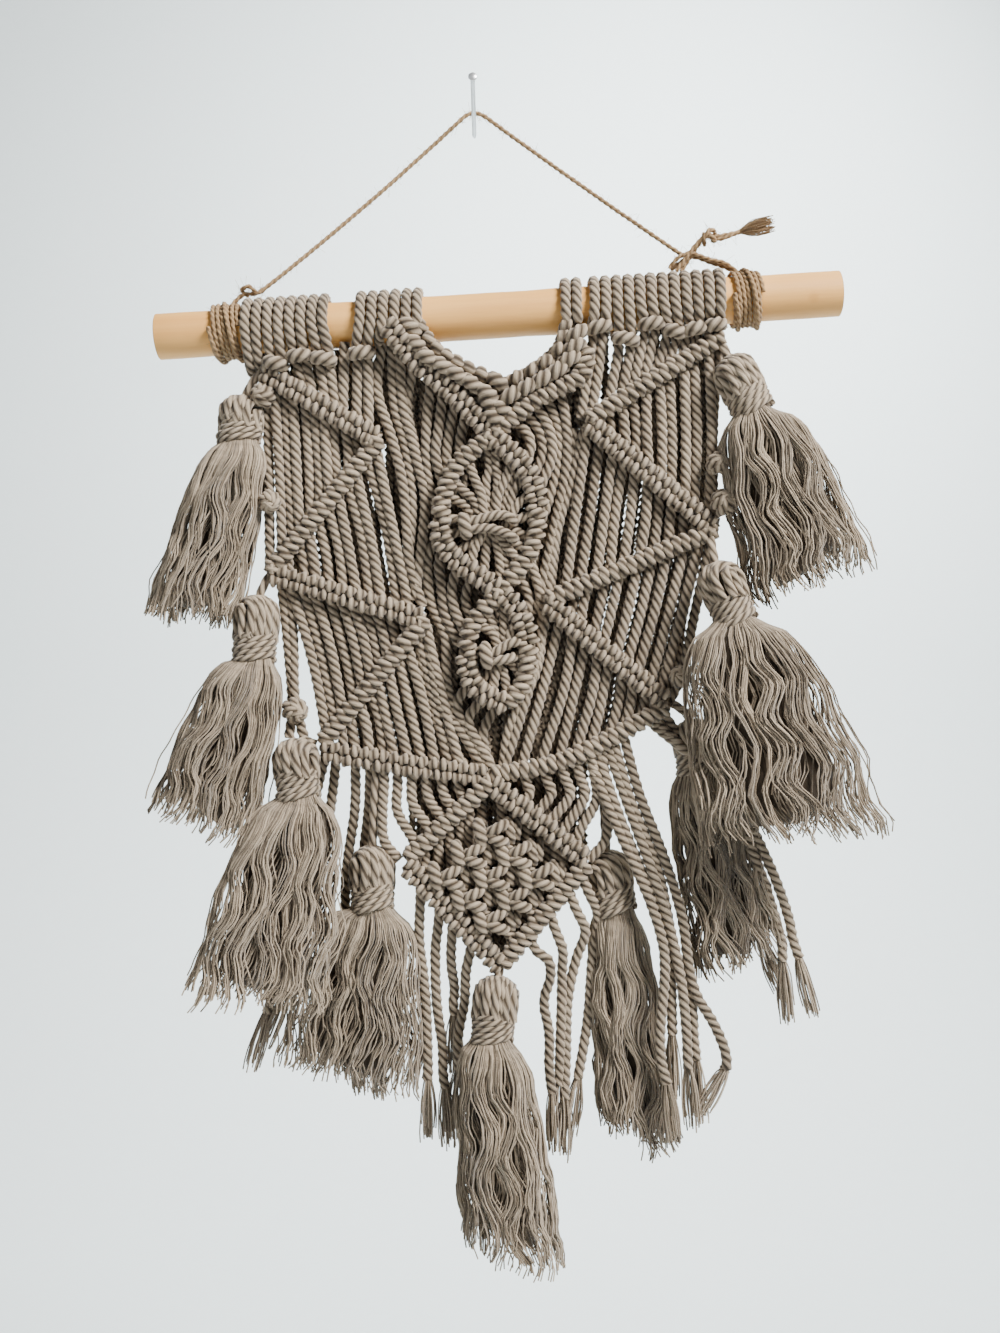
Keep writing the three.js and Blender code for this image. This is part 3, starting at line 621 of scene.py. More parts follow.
twine_winding = wound("wound_twine", two_ply)
for side, first, loose_ends, brushed in LASHINGS:
    sleeve = [([on_rod(first), on_rod(first + LASHING_TURNS * LASHING_SIZES["Pitch"])], TWINE_RADIUS)]
    turns = sweep(f"{side}_lashing_turns", sleeve, twine_winding, LASHING_SIZES, jute)
    settle(turns, "twine", f"lashing_{side}")
    crossings = sweep(f"{side}_lashing_crossings", sleeve, twine_winding, CROSSING_SIZES, jute)
    settle(crossings, "twine", f"lashing_{side}")
    lines = [(bent(rows), TWINE_RADIUS) for rows in loose_ends]
    ends = sweep(f"{side}_lashing_ends", lines, two_ply, TWINE_SIZES, jute)
    settle(ends, "twine", f"lashing_{side}")
    stray = []
    for number, (line, _) in enumerate(lines):
        stray += hairs(line, HAIRS_ON_END, END_HAIR, 40 + number)
    under_turns = [on_rod(first + HAIR_PLACES * place) for place in range(26)]
    stray += hairs(under_turns, HAIRS_ON_TURNS, TURNS_HAIR, 61, ROD_RADIUS + 2.2 * TWINE_RADIUS)
    if brushed:
        stray += brush(mm(*brushed[0]), mm(*brushed[1]), BRUSH_FIBRES, BRUSH_SPREAD, BRUSH_FIBRE, 5)
    fuzz = sweep(f"{side}_lashing_fuzz", stray, hair_tree, {}, jute)
    settle(fuzz, "twine", f"lashing_{side}")

# ------------------------------------------------------------------ the heading
# Three-strand taupe cotton rope, 5 mm thick, folded over the rod in loops side by side. Under the rod
# most of their fronts are held in pairs by a short rope drawn across them.
ROPE_RADIUS = 0.0025
ROPE_SIZES = {"Ring Spacing": 0.0016, "Lay Length": 0.0114, "Ply Depth": 0.24}
KNOT_SIZES = {**ROPE_SIZES, "Ring Spacing": 0.0009, "Lay Length": 0.0095}
COTTON_PALE = (0.60, 0.485, 0.355, 1)
COTTON_DARK = (0.055, 0.038, 0.022, 1)
COTTON_FIXED = {"Specular IOR Level": 0.2, "Sheen Weight": 0.2, "Sheen Roughness": 0.6}
NET_Y = -21
FRONT_Y = -23
STRAND_Y = -20.5
LOOP_RADIUS = 0.012  # from the rod's middle to a loop's
LOOP_TURN = (185, 140, 95, 50, 5, -35)  # degrees over the rod, from its front to under its back
LOOPS = [  # where each lies over the rod, across, and the foot of its front, across and up
    (-98.5, -97, -114.5), (-93.7, -93.2, -113.5), (-88.9, -87.8, -112.5), (-84.1, -83.2, -112),
    (-79.3, -77.8, -109.5), (-74.5, -73.2, -109.5), (-69.7, -67.2, -110), (-65, -62.5, -110.5),
    (-48.9, -50.5, -107.5), (-43.9, -45.9, -107.5), (-39, -40.8, -103.5), (-34, -36.5, -98.5),
    (-29, -28, -96), (-24.2, -24, -94.5),
    (40, 41, -94), (44.8, 45.5, -94.5),
    (52.5, 51.8, -97), (57.5, 57.2, -96.5), (62.4, 63.3, -102), (67.4, 68.6, -102),
    (72.3, 74.9, -95.5), (77.3, 79.6, -95.5), (82.3, 84.8, -98.5), (87.2, 89.3, -98.5),
    (92.2, 93.9, -97.5), (97.1, 98.2, -97.5), (102.1, 102.7, -95.5), (107, 106.8, -96),
]
HEADING_KNOTS = [  # middle of each, its width, and how far its right end drops
    (-85.4, -114, 10.5, 1.5), (-75.4, -110.8, 10.5, -1), (-64.8, -112, 11, 1), (-48.2, -109.5, 11, -1),
    (54.6, -98.2, 11, -2), (66, -103.5, 11.5, 1), (77.2, -96.8, 11, -1), (87, -100.2, 9.5, 1.5),
    (96, -99, 9.5, -1.5), (104.8, -97.4, 9.5, -1),
]
HEADING_KNOT_Y = STRAND_Y - 5.5
HEADING_KNOT_ROPE = 0.0033
UNDER_HEADING = [  # short strands from the knots to the first bars: their two ends, across and up
    (-87.6, -115, -86, -120), (-83, -114, -80.5, -122), (-76.6, -113, -73, -127),
    (-72.6, -113, -69.8, -128), (-66.6, -114, -63.6, -132), (-62.4, -114, -59.4, -134),
    (-56, -104, -56.8, -135), (-50.2, -110, -50.8, -138), (-45.8, -110, -45.5, -141),
    (52.6, -99, 47, -137), (57, -99, 51.5, -136), (63.6, -105, 59, -131), (68.6, -105, 65, -127),
    (75, -98, 69.5, -124), (79.4, -98, 74.2, -121), (84.6, -101, 79, -118), (89, -101, 84.4, -115),
    (93.6, -100, 90.6, -111), (98, -100, 95, -109), (103, -98, 100, -105),
]
KNOT_LIFT = 1.6  # how proud a knot's rope stands at its middle, in millimetres
ROPE_DIVE = 3.4  # how far in its ends go
PULLED_THIN = 0.55  # of its full thickness, where a rope goes in


def leaf(*bends):
    return [(x, FRONT_Y, z) for x, z in bends]


# The bends of each bar of hitches, in millimetres, from its first hitch to its last.
BARS = {
    "left1": [(-92, NET_Y, -116.5), (-41, NET_Y, -146.5)],
    "left2": [(-41, NET_Y, -146.5), (-89, NET_Y, -204.5)],
    "left3": [(-89, NET_Y, -204.5), (-21, NET_Y, -224.5)],
    "left4": [(-21, NET_Y, -224.5), (-66, NET_Y, -278.5)],
    "left5": [(-66, NET_Y, -281.5), (-30, NET_Y, -287.5), (7, NET_Y, -292.5)],
    "right1": [(108, NET_Y, -101.5), (49, NET_Y, -138.5)],
    "right2": [(49, NET_Y, -138.5), (105, NET_Y, -185.5)],
    "right3": [(105, NET_Y, -185.5), (31, NET_Y, -216.5)],
    "right4": [(31, NET_Y, -216.5), (84, NET_Y, -260.5)],
    "right5": [(84, NET_Y, -262.5), (40, NET_Y, -285.5), (7, NET_Y, -292.5)],
    "neck_left": [(-37, -30.5, -98.5), (-25, FRONT_Y, -112.5), (-8, FRONT_Y, -127.5), (8, FRONT_Y, -144.5)],
    "neck_right": [
        (49, FRONT_Y, -107.5), (47, FRONT_Y, -118.5), (27, FRONT_Y, -129.5), (8, FRONT_Y, -144.5),
    ],
    "upper_left": leaf((8, -144.5), (-8, -159.5), (-14, -177.5), (-12, -193.5), (12, -212.5)),
    "upper_right": leaf((8, -144.5), (24, -161.5), (28, -177.5), (25, -194.5), (12, -212.5)),
    "lower_left": leaf((12, -212.5), (0, -226.5), (-3, -239.5), (1, -253.5), (14, -261.5)),
    "lower_right": leaf((12, -212.5), (21, -223.5), (24, -237.5), (21, -253.5), (14, -261.5)),
    "diamond1": leaf((7, -295.5), (-29, -328.5)),
    "diamond2": leaf((-29, -330.5), (12, -374.5)),
    "diamond3": leaf((8, -295.5), (49, -328.5)),
    "diamond4": leaf((49, -330.5), (12, -374.5)),
}


def place_on(line, share):
    """The point at a share of the length of a line of points."""
    lengths = [(far - near).length for near, far in zip(line, line[1:])]
    left = share * sum(lengths)
    for number, length in enumerate(lengths):
        if left <= length or number == len(lengths) - 1:
            return line[number].lerp(line[number + 1], left / length)
        left -= length


def on_bar(name, share):
    return place_on(bar_lines[name], share)


def flat(rows, y, steps=5):
    """A smooth line through places given across and up, all at one depth."""
    return smooth([mm(x, y, z) for x, z in rows], steps)


def drawn_over(start, end, lift):
    """A short rope that comes forward at its start, lies over to its end, and goes in again."""
    back = mm(0, ROPE_DIVE, 0)
    bends = [start + back, start.lerp(end, 0.04), start.lerp(end, 0.5) - mm(0, lift, 0)]
    return smooth([*bends, start.lerp(end, 0.96), end + back], 5)


def plump(line, radius):
    """A short rope that is fullest at its middle and pulled thin where it goes in."""
    last = len(line) - 1
    swells = [math.sqrt(math.sin(math.pi * step / last)) for step in range(last)] + [0]
    return line, [radius * (PULLED_THIN + (1 - PULLED_THIN) * swell) for swell in swells]


bar_lines = {name: smooth([mm(*bend) for bend in bends], 12) for name, bends in BARS.items()}
three_ply = laid_rope("three_ply_rope", 3, 4)
hidden_ply = laid_rope("three_ply_behind", 3, 3)
winding = wound("wound_rope", three_ply)
# The rope's grooves between its plies are darkened strongly with painted shade.
cotton = spun("cotton_rope", COTTON_PALE, COTTON_DARK, 0.78, COTTON_FIXED, shade=0.74)

loops = []
for over_rod, foot_x, foot_z in LOOPS:
    centre = on_rod((over_rod / 1000 - ROD_CENTRE.x) / math.cos(ROD_LEAN))
    front = (centre.y - LOOP_RADIUS) * 1000
    bends = [mm(foot_x, STRAND_Y + 4, foot_z - 2), mm(foot_x, STRAND_Y - 3, foot_z + 1.5)]
    bends.append(mm(foot_x * 0.5 + over_rod * 0.5, front + 0.6, centre.z * 1000 - 7))
    for degrees in LOOP_TURN:
        turn = math.radians(degrees)
        bends.append(centre + Vector((0, math.cos(turn), math.sin(turn))) * LOOP_RADIUS)
    bends.append(mm(over_rod * 0.6 + foot_x * 0.4, STRAND_Y + 7, foot_z + 2))
    loops.append((smooth(bends, 4), ROPE_RADIUS))
heading_loops = sweep("heading_loops", loops, three_ply, ROPE_SIZES, cotton)
settle(heading_loops, "cotton_rope", "net")

drawn = []
for x, z, width, drop in HEADING_KNOTS:
    reach = width / 2 - 1.8
    start = mm(x - reach, HEADING_KNOT_Y, z + drop / 2)
    end = mm(x + reach, HEADING_KNOT_Y, z - drop / 2)
    drawn.append(plump(drawn_over(start, end, KNOT_LIFT), HEADING_KNOT_ROPE))
heading_knots = sweep("heading_knots", drawn, three_ply, KNOT_SIZES, cotton)
settle(heading_knots, "cotton_rope", "net")

short = [(flat([row[:2], row[2:]], STRAND_Y - 1, 12), ROPE_RADIUS) for row in UNDER_HEADING]
under_heading = sweep("strands_under_heading", short, three_ply, ROPE_SIZES, cotton)
settle(under_heading, "cotton_rope", "net")

# ------------------------------------------------------------------ the bars of hitches
# Each bar is core ropes that every strand is hitched round. Hitched one way the turns lie in a single
# row, pressed close; hitched the other way they show as two rows of beads, each half a bead on.
SINGLE = {  # the kinds are in millimetres, but for the rope's radius
    "rows": (0,),
    "half": 2.5,
    "deep": 2.5,
    "pitch": 4.2,
    "forward": 1.4,
    "rope": 0.0027,
}
DOUBLE = {
    "rows": (-2.2, 2.2),
    "half": 1.2,
    "deep": 1.7,
    "pitch": 4.3,
    "forward": 2.6,
    "rope": 0.0025,
}
HITCH_LEAN = -0.3  # how far along the bar each quarter turn leans, in millimetres
CORE_ROPE = 0.0033
CORE_PARTS = 20
HITCH_TURN = (-120, -80, -40, 0, 40, 80, 120)  # degrees round the bar, from behind it to behind it again
HITCH_SIZES = {"Ring Spacing": 0.0011, "Lay Length": 0.0112, "Ply Depth": 0.34}

hitch_chance = random.Random(29)


def hitch(name, place, row, kind):
    """One turn of rope over a bar, at a place along it and so far beside its middle."""
    way = (on_bar(name, place + 0.01) - on_bar(name, place - 0.01)).normalized()
    aside = way.cross(Vector((0, -1, 0))).normalized()
    middle = on_bar(name, place) + (aside * row + Vector((0, -kind["forward"], 0))) / 1000
    lean = HITCH_LEAN * hitch_chance.uniform(0.7, 1.3)
    plumpness = hitch_chance.uniform(0.94, 1.06)
    bends = []
    for degrees in HITCH_TURN:
        turn = math.radians(degrees)
        forward = Vector((0, -kind["deep"] * math.cos(turn), 0))
        out = aside * kind["half"] * math.sin(turn) + forward
        bends.append(middle + (out + way * lean * degrees / 90) / 1000)
    return plump(smooth(bends, 2), kind["rope"] * plumpness)


def hitch_rows(parts, kind):
    """The turns that show along stretches of bar, each stretch a name and the shares it runs between."""
    turns = []
    for name, low, high in parts:
        count = round(length_of(bar_lines[name]) * (high - low) * 1000 / kind["pitch"])
        for side, row in enumerate(kind["rows"]):
            for number in range(count):
                nudge = hitch_chance.uniform(-0.06, 0.06)
                place = low + (high - low) * (number + 0.3 + 0.5 * side + nudge) / count
                turns.append(hitch(name, min(max(place, 0.01), 0.99), row, kind))
    return turns


def stretch_of(name, low, high):
    """Points along a bar, from one share of its length to another."""
    return [on_bar(name, low + (high - low) * step / CORE_PARTS) for step in range(CORE_PARTS + 1)]


def hitched(name, single, double, node):
    """Stretches of bar, some in a single row and some in double rows, and the cores of them all."""
    pressed = sweep(name + "_single", hitch_rows(single, SINGLE), three_ply, HITCH_SIZES, cotton)
    settle(pressed, "cotton_rope", node)
    beaded = sweep(name + "_double", hitch_rows(double, DOUBLE), three_ply, HITCH_SIZES, cotton)
    settle(beaded, "cotton_rope", node)
    lines = [(stretch_of(*part), CORE_ROPE) for part in single + double]
    cores = sweep(name + "_cores", lines, three_ply, ROPE_SIZES, cotton)
    settle(cores, "cotton_rope", node)


hitched(
    "net_bars",
    [
        ("left2", 0, 1), ("left4", 0, 1), ("right1", 0, 1), ("right3", 0, 1), ("neck_right", 0, 1),
        ("upper_left", 0, 0.5), ("upper_right", 0.5, 1), ("lower_left", 0, 0.5), ("lower_right", 0.5, 1),
    ],
    [
        ("left1", 0, 1), ("left3", 0, 1), ("right2", 0, 1), ("right4", 0, 1), ("neck_left", 0, 1),
        ("upper_left", 0.5, 1), ("upper_right", 0, 0.5), ("lower_left", 0.5, 1), ("lower_right", 0, 0.5),
    ],
    "net",
)

# ------------------------------------------------------------------ the neckline's knots
# Along the neck bars runs a chain of square knots, tied over core ropes. What shows of each knot is a
# long bead across the chain and a smaller one at the inner edge, ropes that come forward and go in again.
LEFT_BEADS = [
    (-27.1, -98.5), (-25, -105.5), (-19.8, -111.5), (-13.3, -115.3), (-7, -119), (-0.8, -122.8), (6, -127.2),
]
LEFT_EDGE = [
    (-22.4, -98), (-19, -103.4), (-15.4, -107.6), (-11, -110.8), (-6.6, -113.4), (-1.7, -116), (4, -118.6),
]
RIGHT_BEADS = [
    (44.9, -101.5), (43.8, -107), (41.4, -112.4), (36.5, -117.2), (30, -121), (23, -124.6), (16.4, -128),
]
RIGHT_EDGE = [(40.2, -97.4), (38.8, -102.4), (36.6, -107.8), (31.4, -113.2), (25.1, -117), (18.6, -120)]
FILLING_BEADS = [(10.6, -121.8), (7.4, -131.6), (11.8, -133.4), (9, -137.6)]
BEAD = (2.6, 1.8)  # half a bead, across and down
EDGE_BEAD = (0.9, 1.3)
BEAD_LIFT = 1.4
BEAD_ROPE = 0.0035
EDGE_ROPE = 0.0029
CHAIN_CORES = [  # the bends of each, its depth and its radius
    ([(-26, -94.5), (-23, -106.5), (-5, -117.5), (10, -124), (9, -140)], FRONT_Y, CORE_ROPE),
    ([(43, -94.5), (40.5, -107), (25, -119.8), (10, -125.5), (7, -140)], FRONT_Y, CORE_ROPE),
    ([(-31, -99), (-24, -113.5), (-7, -122), (8, -135)], FRONT_Y + 3, CORE_ROPE),
    ([(46, -104), (43, -116.5), (26, -126), (8, -137)], FRONT_Y + 3, CORE_ROPE),
    ([(-22.5, -94), (-19, -104.5), (-4, -114.5), (11, -121)], FRONT_Y + 2, ROPE_RADIUS),
    ([(40, -94), (37, -105), (23, -116.8), (11, -122)], FRONT_Y + 2, ROPE_RADIUS),
]


def beads(places, across, down, y, radius):
    """A bead at each place, falling to the right, or rising where down is less than nothing."""
    found = []
    for x, z in places:
        start, end = mm(x - across, y, z + down), mm(x + across, y, z - down)
        found.append(plump(drawn_over(start, end, BEAD_LIFT), radius))
    return found


chain = beads(LEFT_BEADS, *BEAD, FRONT_Y - 4, BEAD_ROPE)
chain += beads(LEFT_EDGE, *EDGE_BEAD, FRONT_Y - 2.5, EDGE_ROPE)
chain += beads(RIGHT_BEADS, BEAD[0], -BEAD[1], FRONT_Y - 4, BEAD_ROPE)
chain += beads(RIGHT_EDGE, EDGE_BEAD[0], -EDGE_BEAD[1], FRONT_Y - 2.5, EDGE_ROPE)
chain += beads(FILLING_BEADS, *BEAD, FRONT_Y - 3, BEAD_ROPE)
chain += [(flat(bends, y, 10), radius) for bends, y, radius in CHAIN_CORES]
neckline_knots = sweep("neckline_knots", chain, three_ply, KNOT_SIZES, cotton)
settle(neckline_knots, "cotton_rope", "net")

# ------------------------------------------------------------------ the strands of the net
# Ropes hang straight or in a slight bow from one bar to the next, side by side. Behind them hang more
# layers of the same rope, and longer ropes pass beside and behind the leaves.
FANS = [  # the bars each fan hangs between, the stretch of them that it takes, and its strands
    {"above": "left1", "from": (0.1, 0.86), "below": "left2", "to": (0.88, 0.12), "count": 10, "bow": 0},
    {"above": "left2", "from": (0.82, 0.04), "below": "left3", "to": (0.14, 0.9), "count": 10, "bow": 0.8},
    {"above": "left3", "from": (0.13, 0.84), "below": "left4", "to": (0.95, 0.18), "count": 10, "bow": 1},
    {"above": "left4", "from": (0.82, 0), "below": "left5", "to": (0.13, 0.84), "count": 10, "bow": 0.6},
    {"above": "right1", "from": (0.1, 0.92), "below": "right2", "to": (0.95, 0.12), "count": 10, "bow": 0.6},
    {"above": "right2", "from": (0.03, 0.86), "below": "right3", "to": (0.87, 0.1), "count": 10, "bow": 0},
    {"above": "right3", "from": (0.08, 0.92), "below": "right4", "to": (0.95, 0.1), "count": 10, "bow": 0},
    {"above": "right4", "from": (0.95, 0.05), "below": "right5", "to": (0.06, 0.92), "count": 10, "bow": 1},
]
FREE_STRANDS = [  # the bends of the strands beside and behind the leaves, across and up
    [
        (-40, -104), (-41.9, -124.4), (-35.6, -145.3), (-30.6, -165.8), (-28, -198.5), (-26.2, -206),
        (-21.9, -219),
    ],
    [(-36, -100), (-34.3, -131.3), (-29.7, -148.3), (-26.8, -172.3), (-28.5, -198.5), (-30.3, -218)],
    [(-32.1, -105), (-30.6, -131.3), (-25.7, -150.5), (-21.2, -170.1), (-22.2, -189.8), (-25.8, -216)],
    [(-26.4, -113.5), (-29, -133.1), (-24.7, -150.5), (-19.6, -168)],
    [(-18.4, -119.2), (-20.3, -137.4), (-20.6, -152.7), (-18.8, -168), (-13.8, -179.5)],
    [(-13, -123.8), (-14.9, -139.6), (-16.5, -152.7), (-12.8, -166.6)],
    [(-7.8, -128.9), (-10.5, -141.8), (-11.7, -154.9), (-9.4, -163.1)],
    [(-2.9, -133.3), (-5.6, -146.2), (-5.5, -157.9)],
    [
        (-11, -184.5), (-19.3, -194.1), (-20.1, -203.7), (-18.4, -217.7), (-12.3, -231.6), (-11.6, -252.1),
        (-4.9, -271.7), (4.4, -291),
    ],
    [(-11.6, -189.8), (-14.9, -198.5), (-14, -209.4), (-12.3, -222.4), (-6.2, -235.3)],
    [(-5.8, -197.6), (-9.4, -211.5), (-7.8, -221.1), (-1.3, -234.5)],
    [(0.3, -203.2), (-3.4, -215.9), (1.3, -227.5)],
    [(-20.3, -226.6), (-17.1, -252.1), (-14.3, -262.6), (-5.2, -273.5), (5.3, -291)],
    [(-23.4, -231.5), (-21.5, -257.1), (-16.3, -269.4), (-2.3, -290)],
    [(1.7, -250.7), (-6.5, -259.1), (-6.2, -266), (-0.4, -276.1), (6.1, -289.7)],
    [(6.9, -257.5), (-0.8, -264.7), (-2.1, -269.5), (2.4, -278.7), (8.3, -289.5)],
    [(12.5, -260.1), (6.3, -268.7), (4, -276.5), (8, -289.5)],
    [(30.7, -218.8), (28, -245.1), (21.7, -259.1), (15.5, -273), (12.9, -290)],
    [(44.7, -141), (41.5, -160), (37.2, -182), (33.4, -214)],
    [(48.7, -141.4), (43.5, -162.3), (38.1, -179.7), (34.8, -194.1), (32.1, -215.4)],
    [(16.4, -137.6), (23.2, -142.7), (25.1, -149.8), (20.5, -158.3)],
    [(21.9, -132.9), (29.4, -142.7), (30.3, -152.3), (24.3, -164.7)],
    [(26.3, -129.3), (33.4, -141.8), (34.4, -153.5), (27.8, -170), (26.6, -180.5)],
    [(32.1, -126.7), (37.4, -141.8), (36.5, -159.2), (33, -172.3), (26.4, -188.4)],
    [(37.9, -122.7), (41, -141.8), (40.5, -159.2), (36.1, -181), (29.6, -211.5), (27.8, -222)],
    [(24.5, -197.5), (28.8, -211.5), (30.1, -221.8)],
    [(19.5, -204), (24.6, -215.9), (22.1, -229.8)],
    [(53.6, -98.2), (50.9, -115.6), (49.2, -127.8), (48.3, -137.1)],
]
BEHIND_LEAVES = [  # the working ropes of the leaves, behind them: across, and their two ends up
    (-41.5, -112, -146), (-37, -112, -196), (-32.4, -114, -212), (-27.6, -118, -218),
    (-22.5, -119, -216), (-17.8, -118, -226), (-13.2, -122, -284), (-8.6, -124, -290), (-4, -130, -290),
    (0.6, -134, -290), (5.2, -138, -291), (9.8, -140, -291), (14.4, -136, -290), (19, -130, -289),
    (23.6, -126, -286), (28.2, -122, -285), (32.8, -118, -240), (37.4, -112, -216), (42, -112, -214),
    (46.4, -112, -140),
    (-11, -216, -288), (-15.6, -218, -287), (-20.2, -222, -286), (33, -219, -284), (37.6, -219, -284),
]
OPEN_PLACES = [  # working ropes that close the net where it is thin: across, two ends up, and layer
    (-79, -106, -131, 1), (-69.4, -106, -135, 1), (-59.6, -106, -140, 1), (-54.2, -108, -142, 2),
    (-48.8, -108, -144, 2), (-43.4, -110, -147, 2), (57.8, -98, -136, 1), (64.4, -98, -132, 1),
    (70.8, -97, -129, 2), (80.4, -96, -123, 1), (85.8, -96, -121, 2), (104.6, -96, -146, 1),
    (-42.9, -170, -212, 3), (-20.2, -204, -236, 3), (-25, -204, -233, 3), (16.6, -190, -263, 3),
    (41.2, -204, -236, 3), (53.4, -164, -202, 3),
]
DEPTHS = (0, 1.4, 0.4, 1.9, 0.8)  # how far behind the first each next strand hangs, in millimetres
LAYERS_BACK = (0, 5.2, 9.8, 14.2)  # how far behind the first layer each layer hangs, in millimetres
LAYER_STEP = 2.3  # how far beside the nearer one a working rope of the next layer hangs
REAR_SIZES = {**ROPE_SIZES, "Ring Spacing": 0.0031}
SAG = 0.0006

strand_chance = random.Random(17)


def fan_lines(fans, layer=0):
    """Strands from bar to bar, neighbours a little before and behind each other.

    In an odd layer they hang behind the gaps of the layer before it.
    """
    lines = []
    for fan in fans:
        (first, last), (first_foot, last_foot) = fan["from"], fan["to"]
        for number in range(fan["count"] - layer % 2):
            nudge = strand_chance.uniform(-0.12, 0.12)
            share = (number + 0.5 * (layer % 2) + nudge) / (fan["count"] - 1)
            start = on_bar(fan["above"], first + (last - first) * share)
            end = on_bar(fan["below"], first_foot + (last_foot - first_foot) * share)
            depth = (STRAND_Y + LAYERS_BACK[layer] + DEPTHS[number % len(DEPTHS)]) / 1000
            start.y, end.y = depth, depth
            middle = start.lerp(end, strand_chance.uniform(0.4, 0.6))
            middle.x += fan["bow"] / 1000 + strand_chance.gauss(0, SAG)
            middle.y += strand_chance.gauss(0, SAG * 0.5)
            steps = max(3, round((end - start).length / 0.008))
            lines.append((smooth([start, middle, end], steps), ROPE_RADIUS))
    return lines


def free_lines(shift=0, back=0):
    lines = []
    for number, row in enumerate(FREE_STRANDS):
        depth = STRAND_Y + DEPTHS[number % len(DEPTHS)] + 0.8 + back
        lines.append((flat([(x + shift, z) for x, z in row], depth), ROPE_RADIUS))
    return lines


def working_ropes(rows, steps):
    """Two layers of the ropes that run down behind knots, each row a place across and two ends up."""
    lines = []
    for x, high, low in rows:
        for layer in (1, 2):
            across = x + LAYER_STEP * (layer - 1)
            middle = (across + strand_chance.gauss(0, 0.4), (high + low) / 2)
            depth = STRAND_Y + LAYERS_BACK[layer] + x % 2
            lines.append((flat([(across, high), middle, (across, low)], depth, steps), ROPE_RADIUS))
    return lines


net_strands = sweep("net_strands", fan_lines(FANS) + free_lines(), three_ply, ROPE_SIZES, cotton)
settle(net_strands, "cotton_rope", "net")
rear_lines = fan_lines(FANS, 1) + fan_lines(FANS, 2) + free_lines(2.2, LAYERS_BACK[1])
rear_lines += working_ropes(BEHIND_LEAVES, 10)
for x, high, low, layer in OPEN_PLACES:
    rear_lines.append((flat([(x, high), (x, low)], STRAND_Y + LAYERS_BACK[layer], 10), ROPE_RADIUS))
rear_strands = sweep("rear_strands", rear_lines, hidden_ply, REAR_SIZES, cotton)
settle(rear_strands, "cotton_rope", "net")

# ------------------------------------------------------------------ the knots at the net's sides
# Where an outer strand turns back it is tied in a round overhand knot. Most of the knots have a tassel
# hanging below them.
SIDE_KNOTS = [  # the middle and the size of each
    (-88.2, -24, -173.4, 10), (-77.3, -23, -263.9, 12), (105.7, -25, -157, 10), (108.6, -25, -174, 12.5),
    (90, -23, -249.5, 10), (-91.2, -23, -127.5, 11.5),
]
SIDE_STRANDS = [
    [(-91, -19, -119), (-89.8, -18, -145), (-89, -20, -168), (-89, -19, -190), (-88.5, -20, -203)],
    [(-80, -19, -207), (-78.6, -19, -235), (-77.5, -21, -260), (-73, -20, -279)],
    [(-84, -19, -207), (-81, -19, -235), (-79, -20, -262), (-80, -22, -276)],
    [(108, -19, -104), (105.5, -18, -130), (104.5, -20, -156), (105.4, -20, -184)],
    [(104, -19, -188), (97, -17, -222), (91, -20, -248), (85, -20, -262)],
    [(100, -18, -189), (92, -16, -222), (88, -19, -248), (83, -19, -260)],
]
KNOT_FOLDS = 5
KNOT_ROPE = 0.0025
FOLD_TURN = (-115, -75, -35, 5, 45, 85, 120)  # degrees round the ball, from behind it to behind it again
FOLD_LEANS = (25, 37, 50)  # degrees: the first fold's lean, each next fold's, and each next knot's


def overhand(x, y, z, size, number):
    """Folds of rope laid over a ball at different leans."""
    folds = []
    first, next_fold, next_knot = FOLD_LEANS
    for fold in range(KNOT_FOLDS):
        lean = math.radians(first + next_fold * fold + next_knot * number)
        way = Vector((math.cos(lean), 0, math.sin(lean)))
        from_middle = fold - KNOT_FOLDS // 2
        aside = way.cross(Vector((0, 1, 0))) * size * from_middle / 12
        reach = (size / 2 - 1.6) * (1 - 0.08 * abs(from_middle))
        bends = []
        for degrees in FOLD_TURN:
            turn = math.radians(degrees)
            out = Vector((0, -math.cos(turn), 0)) + way * math.sin(turn)
            bends.append((Vector((x, y, z)) + out * reach + aside) / 1000)
        folds.append(plump(smooth(bends, 4), KNOT_ROPE))
    return folds


side_lines = [(bent(rows), ROPE_RADIUS) for rows in SIDE_STRANDS]
side_strands = sweep("side_strands", side_lines, three_ply, ROPE_SIZES, cotton)
settle(side_strands, "cotton_rope", "net")
folds = [fold for number, row in enumerate(SIDE_KNOTS) for fold in overhand(*row, number)]
side_knots = sweep("side_knots", folds, three_ply, KNOT_SIZES, cotton)
settle(side_knots, "cotton_rope", "net")

